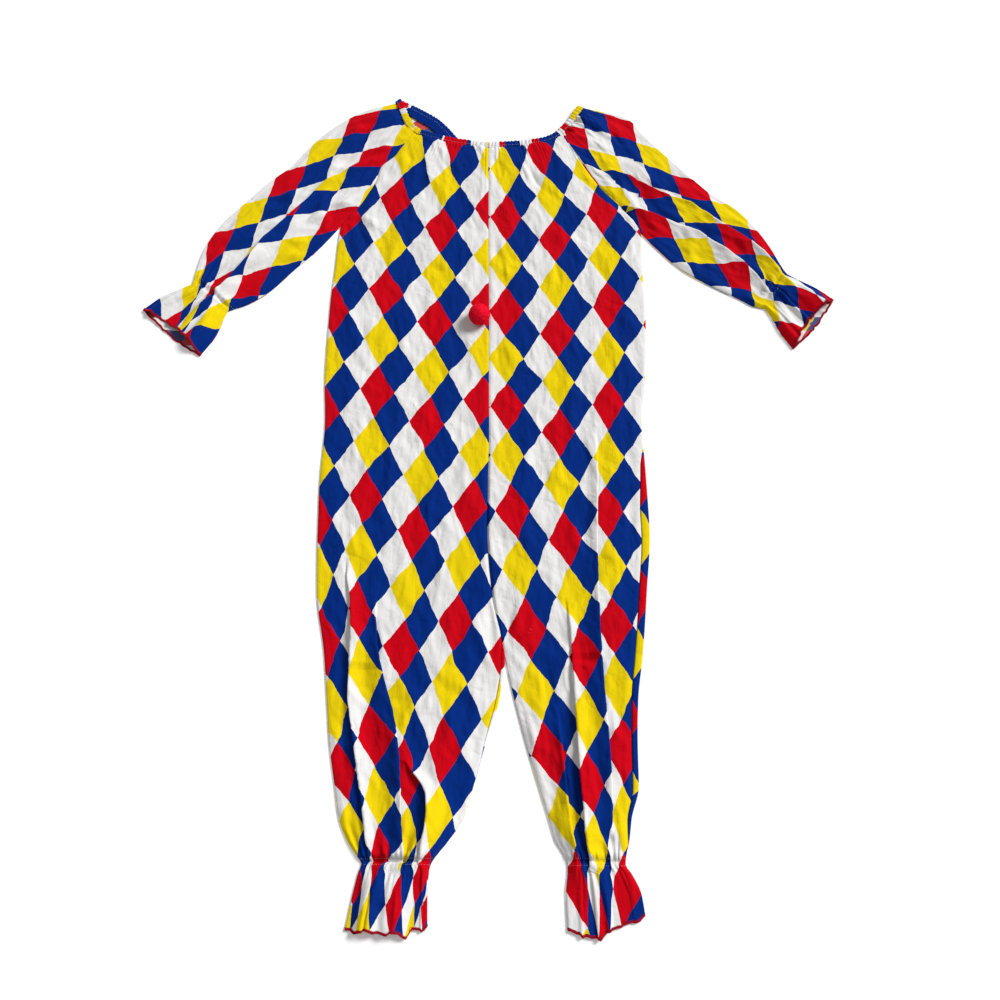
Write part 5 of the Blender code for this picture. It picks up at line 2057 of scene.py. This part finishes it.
@dataclass
class Cloths:
    """The jumpsuit's panels and sleeves, in the order in which they lie.

    Args:
        side_strip: how far the left side seam is rolled onto the front, as y and width.
        inseam_strip: the same along the right leg's inside.
    """

    side_strip: Points = (
        (14, 0), (-8, 4.5), (-60, 8.5), (-155, 7.5), (-217, 7.5), (-280, 5.5), (-343, 5.5), (-375, 3.5),
        (-402, 0),
    )
    inseam_strip: Points = ((-190, 0), (-215, 3), (-270, 3), (-320, 0))

    def build(self) -> dict[str, Grid]:
        """Makes every panel's grid.

        Returns:
            The grids by CAD node.
        """
        body = Crinkle(seed=4, height=1.9)
        right_edge_print = ((-17, 450, 12), (13, -480, 12))
        left_edge_print = (
            (-17, 477, -1), (-1, -27.5, -1), (3, -155.4, -1.5), (5, -216.9, -2), (7, -280, -9),
            (9, -343.4, -11), (13, -470, -11),
        )
        pieces = {
            "front_right": FrontPanel(
                FRONT_RIGHT_SECTIONS, FRONT_RIGHT_FOLDS, FRONT_RIGHT_CREASES, FRONT_RIGHT_PRINT,
                Gathers(27, 30.0, 12, 4, seed=21), body, (), self.inseam_strip, HEM_DIPS_RIGHT,
            ),
            "front_left": FrontPanel(
                FRONT_LEFT_SECTIONS, FRONT_LEFT_FOLDS, FRONT_LEFT_CREASES, FRONT_LEFT_PRINT,
                Gathers(27, 30.0, 9, 4, seed=22), body, self.side_strip, (), HEM_DIPS_LEFT,
            ),
            "back_right": BackPanel(
                FRONT_RIGHT_SECTIONS, BACK_RAGLAN_RIGHT, Gathers(0, 1.0, 9, 4, seed=31),
                (), self.inseam_strip, right_edge_print,
            ),
            "back_left": BackPanel(
                FRONT_LEFT_SECTIONS, BACK_RAGLAN_LEFT, Gathers(0, 1.0, 9, 4, seed=32),
                self.side_strip, (), left_edge_print,
            ),
            "sleeve_right": Sleeve(
                SLEEVE_RIGHT_SECTIONS, SLEEVE_RIGHT_FOLDS, SLEEVE_RIGHT_CREASES, SLEEVE_RIGHT_PRINT,
                Gathers(10, 22.0, 9, 3, seed=41), Crinkle(9, (-0.68, -0.735), 3.0), BACK_RAGLAN_RIGHT,
            ),
            "sleeve_left": Sleeve(
                SLEEVE_LEFT_SECTIONS, SLEEVE_LEFT_FOLDS, SLEEVE_LEFT_CREASES, SLEEVE_LEFT_PRINT,
                Gathers(10, 22.0, 9, 3, seed=42), Crinkle(12, (0.75, -0.66), 3.0), BACK_RAGLAN_LEFT,
            ),
        }
        return {node: piece.grid() for node, piece in pieces.items()}


@dataclass(frozen=True)
class Cut:
    """The flat cut of one piece of cloth.

    Args:
        flat: width and length, in metres.
        area: its flat area, in square metres.
        rests_on: what it lies on.
    """

    flat: tuple[float, float]
    area: float
    rests_on: tuple[str, ...]


def stitched_rows(sections: Points, numbers: Sequence[float]) -> list[int]:
    """The grid rows nearest to some sections' numbers."""
    found = section_rows(sections)[1]
    return [int(np.abs(found - number).argmin()) for number in numbers]


@dataclass
class Threads:
    """The stitches and the overlocking that go with one leg or sleeve."""

    name: str
    grids: Sequence[Grid]
    rows: Sequence[Sequence[int]]

    def build(self, thread: Material, overlock: Material) -> list[Piece]:
        """Makes the elastic's stitch rows and the hem's overlocking."""
        tracks = [row_track(grid, row) for grid, rows in zip(self.grids, self.rows) for row in rows]
        stitches = Stitching(f"{self.name}_stitches", 2.6, 1.4, 0.2).build(tracks, thread)
        hems = [hem_track(grid, HIDDEN_HEM_DROP * layer) for layer, grid in enumerate(self.grids)]
        loops = Overlocking(f"{self.name}_overlock").build(hems, overlock)
        return [stitches, loops]


def sew(grids: dict[str, Grid]) -> dict[str, list[Piece]]:
    """Makes the threads of every leg and sleeve.

    Args:
        grids: the cloth's grids.

    Returns:
        The pieces that go with each piece of cloth.
    """
    thread = Yarn("pale_thread", from_srgb(190, 188, 198), 2200.0).material()
    overlock = Yarn("red_overlock", from_srgb(172, 8, 34), 1800.0, 0.7).material()
    made = {}
    for side, sections in (("right", FRONT_RIGHT_SECTIONS), ("left", FRONT_LEFT_SECTIONS)):
        rows = [stitched_rows(each, LEG_STITCHES) for each in (sections, coarser(sections))]
        pair = (grids[f"front_{side}"], grids[f"back_{side}"])
        made[f"front_{side}"] = Threads(f"leg_{side}", pair, rows).build(thread, overlock)
    for side, sections in (("right", SLEEVE_RIGHT_SECTIONS), ("left", SLEEVE_LEFT_SECTIONS)):
        rows = [stitched_rows(sections, SLEEVE_STITCHES)]
        sleeve = Threads(f"arm_{side}", (grids[f"sleeve_{side}"],), rows)
        made[f"sleeve_{side}"] = sleeve.build(thread, overlock)
    return made


def ride_root(pieces: Sequence[Piece]) -> None:
    """Puts pieces on the jumpsuit's one body and reports them."""
    for piece in pieces:
        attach(piece, "root")
        log.info("%s: %d faces", piece.name, len(piece.data.polygons))


def main() -> None:
    """Builds the jumpsuit and the studio round it."""
    logging.basicConfig(level=logging.INFO, format="%(name)s: %(message)s")
    effects = SharedEffects(harlequin_group(), weave_group(), crinkle_group())
    Studio().build()
    face = PrintedCloth("harlequin_face").material(effects)
    inside = PrintedCloth("harlequin_inside", fade=0.12).material(effects)
    grids = Cloths().build()
    pieces = {node: shell(f"{node}_cloth", grid, (face, inside)) for node, grid in grids.items()}
    threads = sew(grids)
    for node, piece in pieces.items():
        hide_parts(node)
        ride_root((piece, *threads.get(node, ())))
    casing = NeckCasing()
    band = casing.build(grids, PrintedCloth("harlequin_casing").material(effects))
    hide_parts("neck_casing")
    neck_thread = Yarn("neck_thread", from_srgb(196, 196, 208), 2200.0).material()
    row = Stitching("neck_stitches", 2.4, 1.6).build([casing.top], neck_thread)
    core = Yarn("pompom_core_yarn", from_srgb(255, 0, 42), 700.0, 0.9).material()
    ball, fibres = Pompom().build(core, Yarn("pompom_yarn", from_srgb(255, 10, 60), 900.0, 0.85).material())
    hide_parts("pompom")
    ride_root((band, row, ball, fibres))


if __name__ == "__main__":
    main()
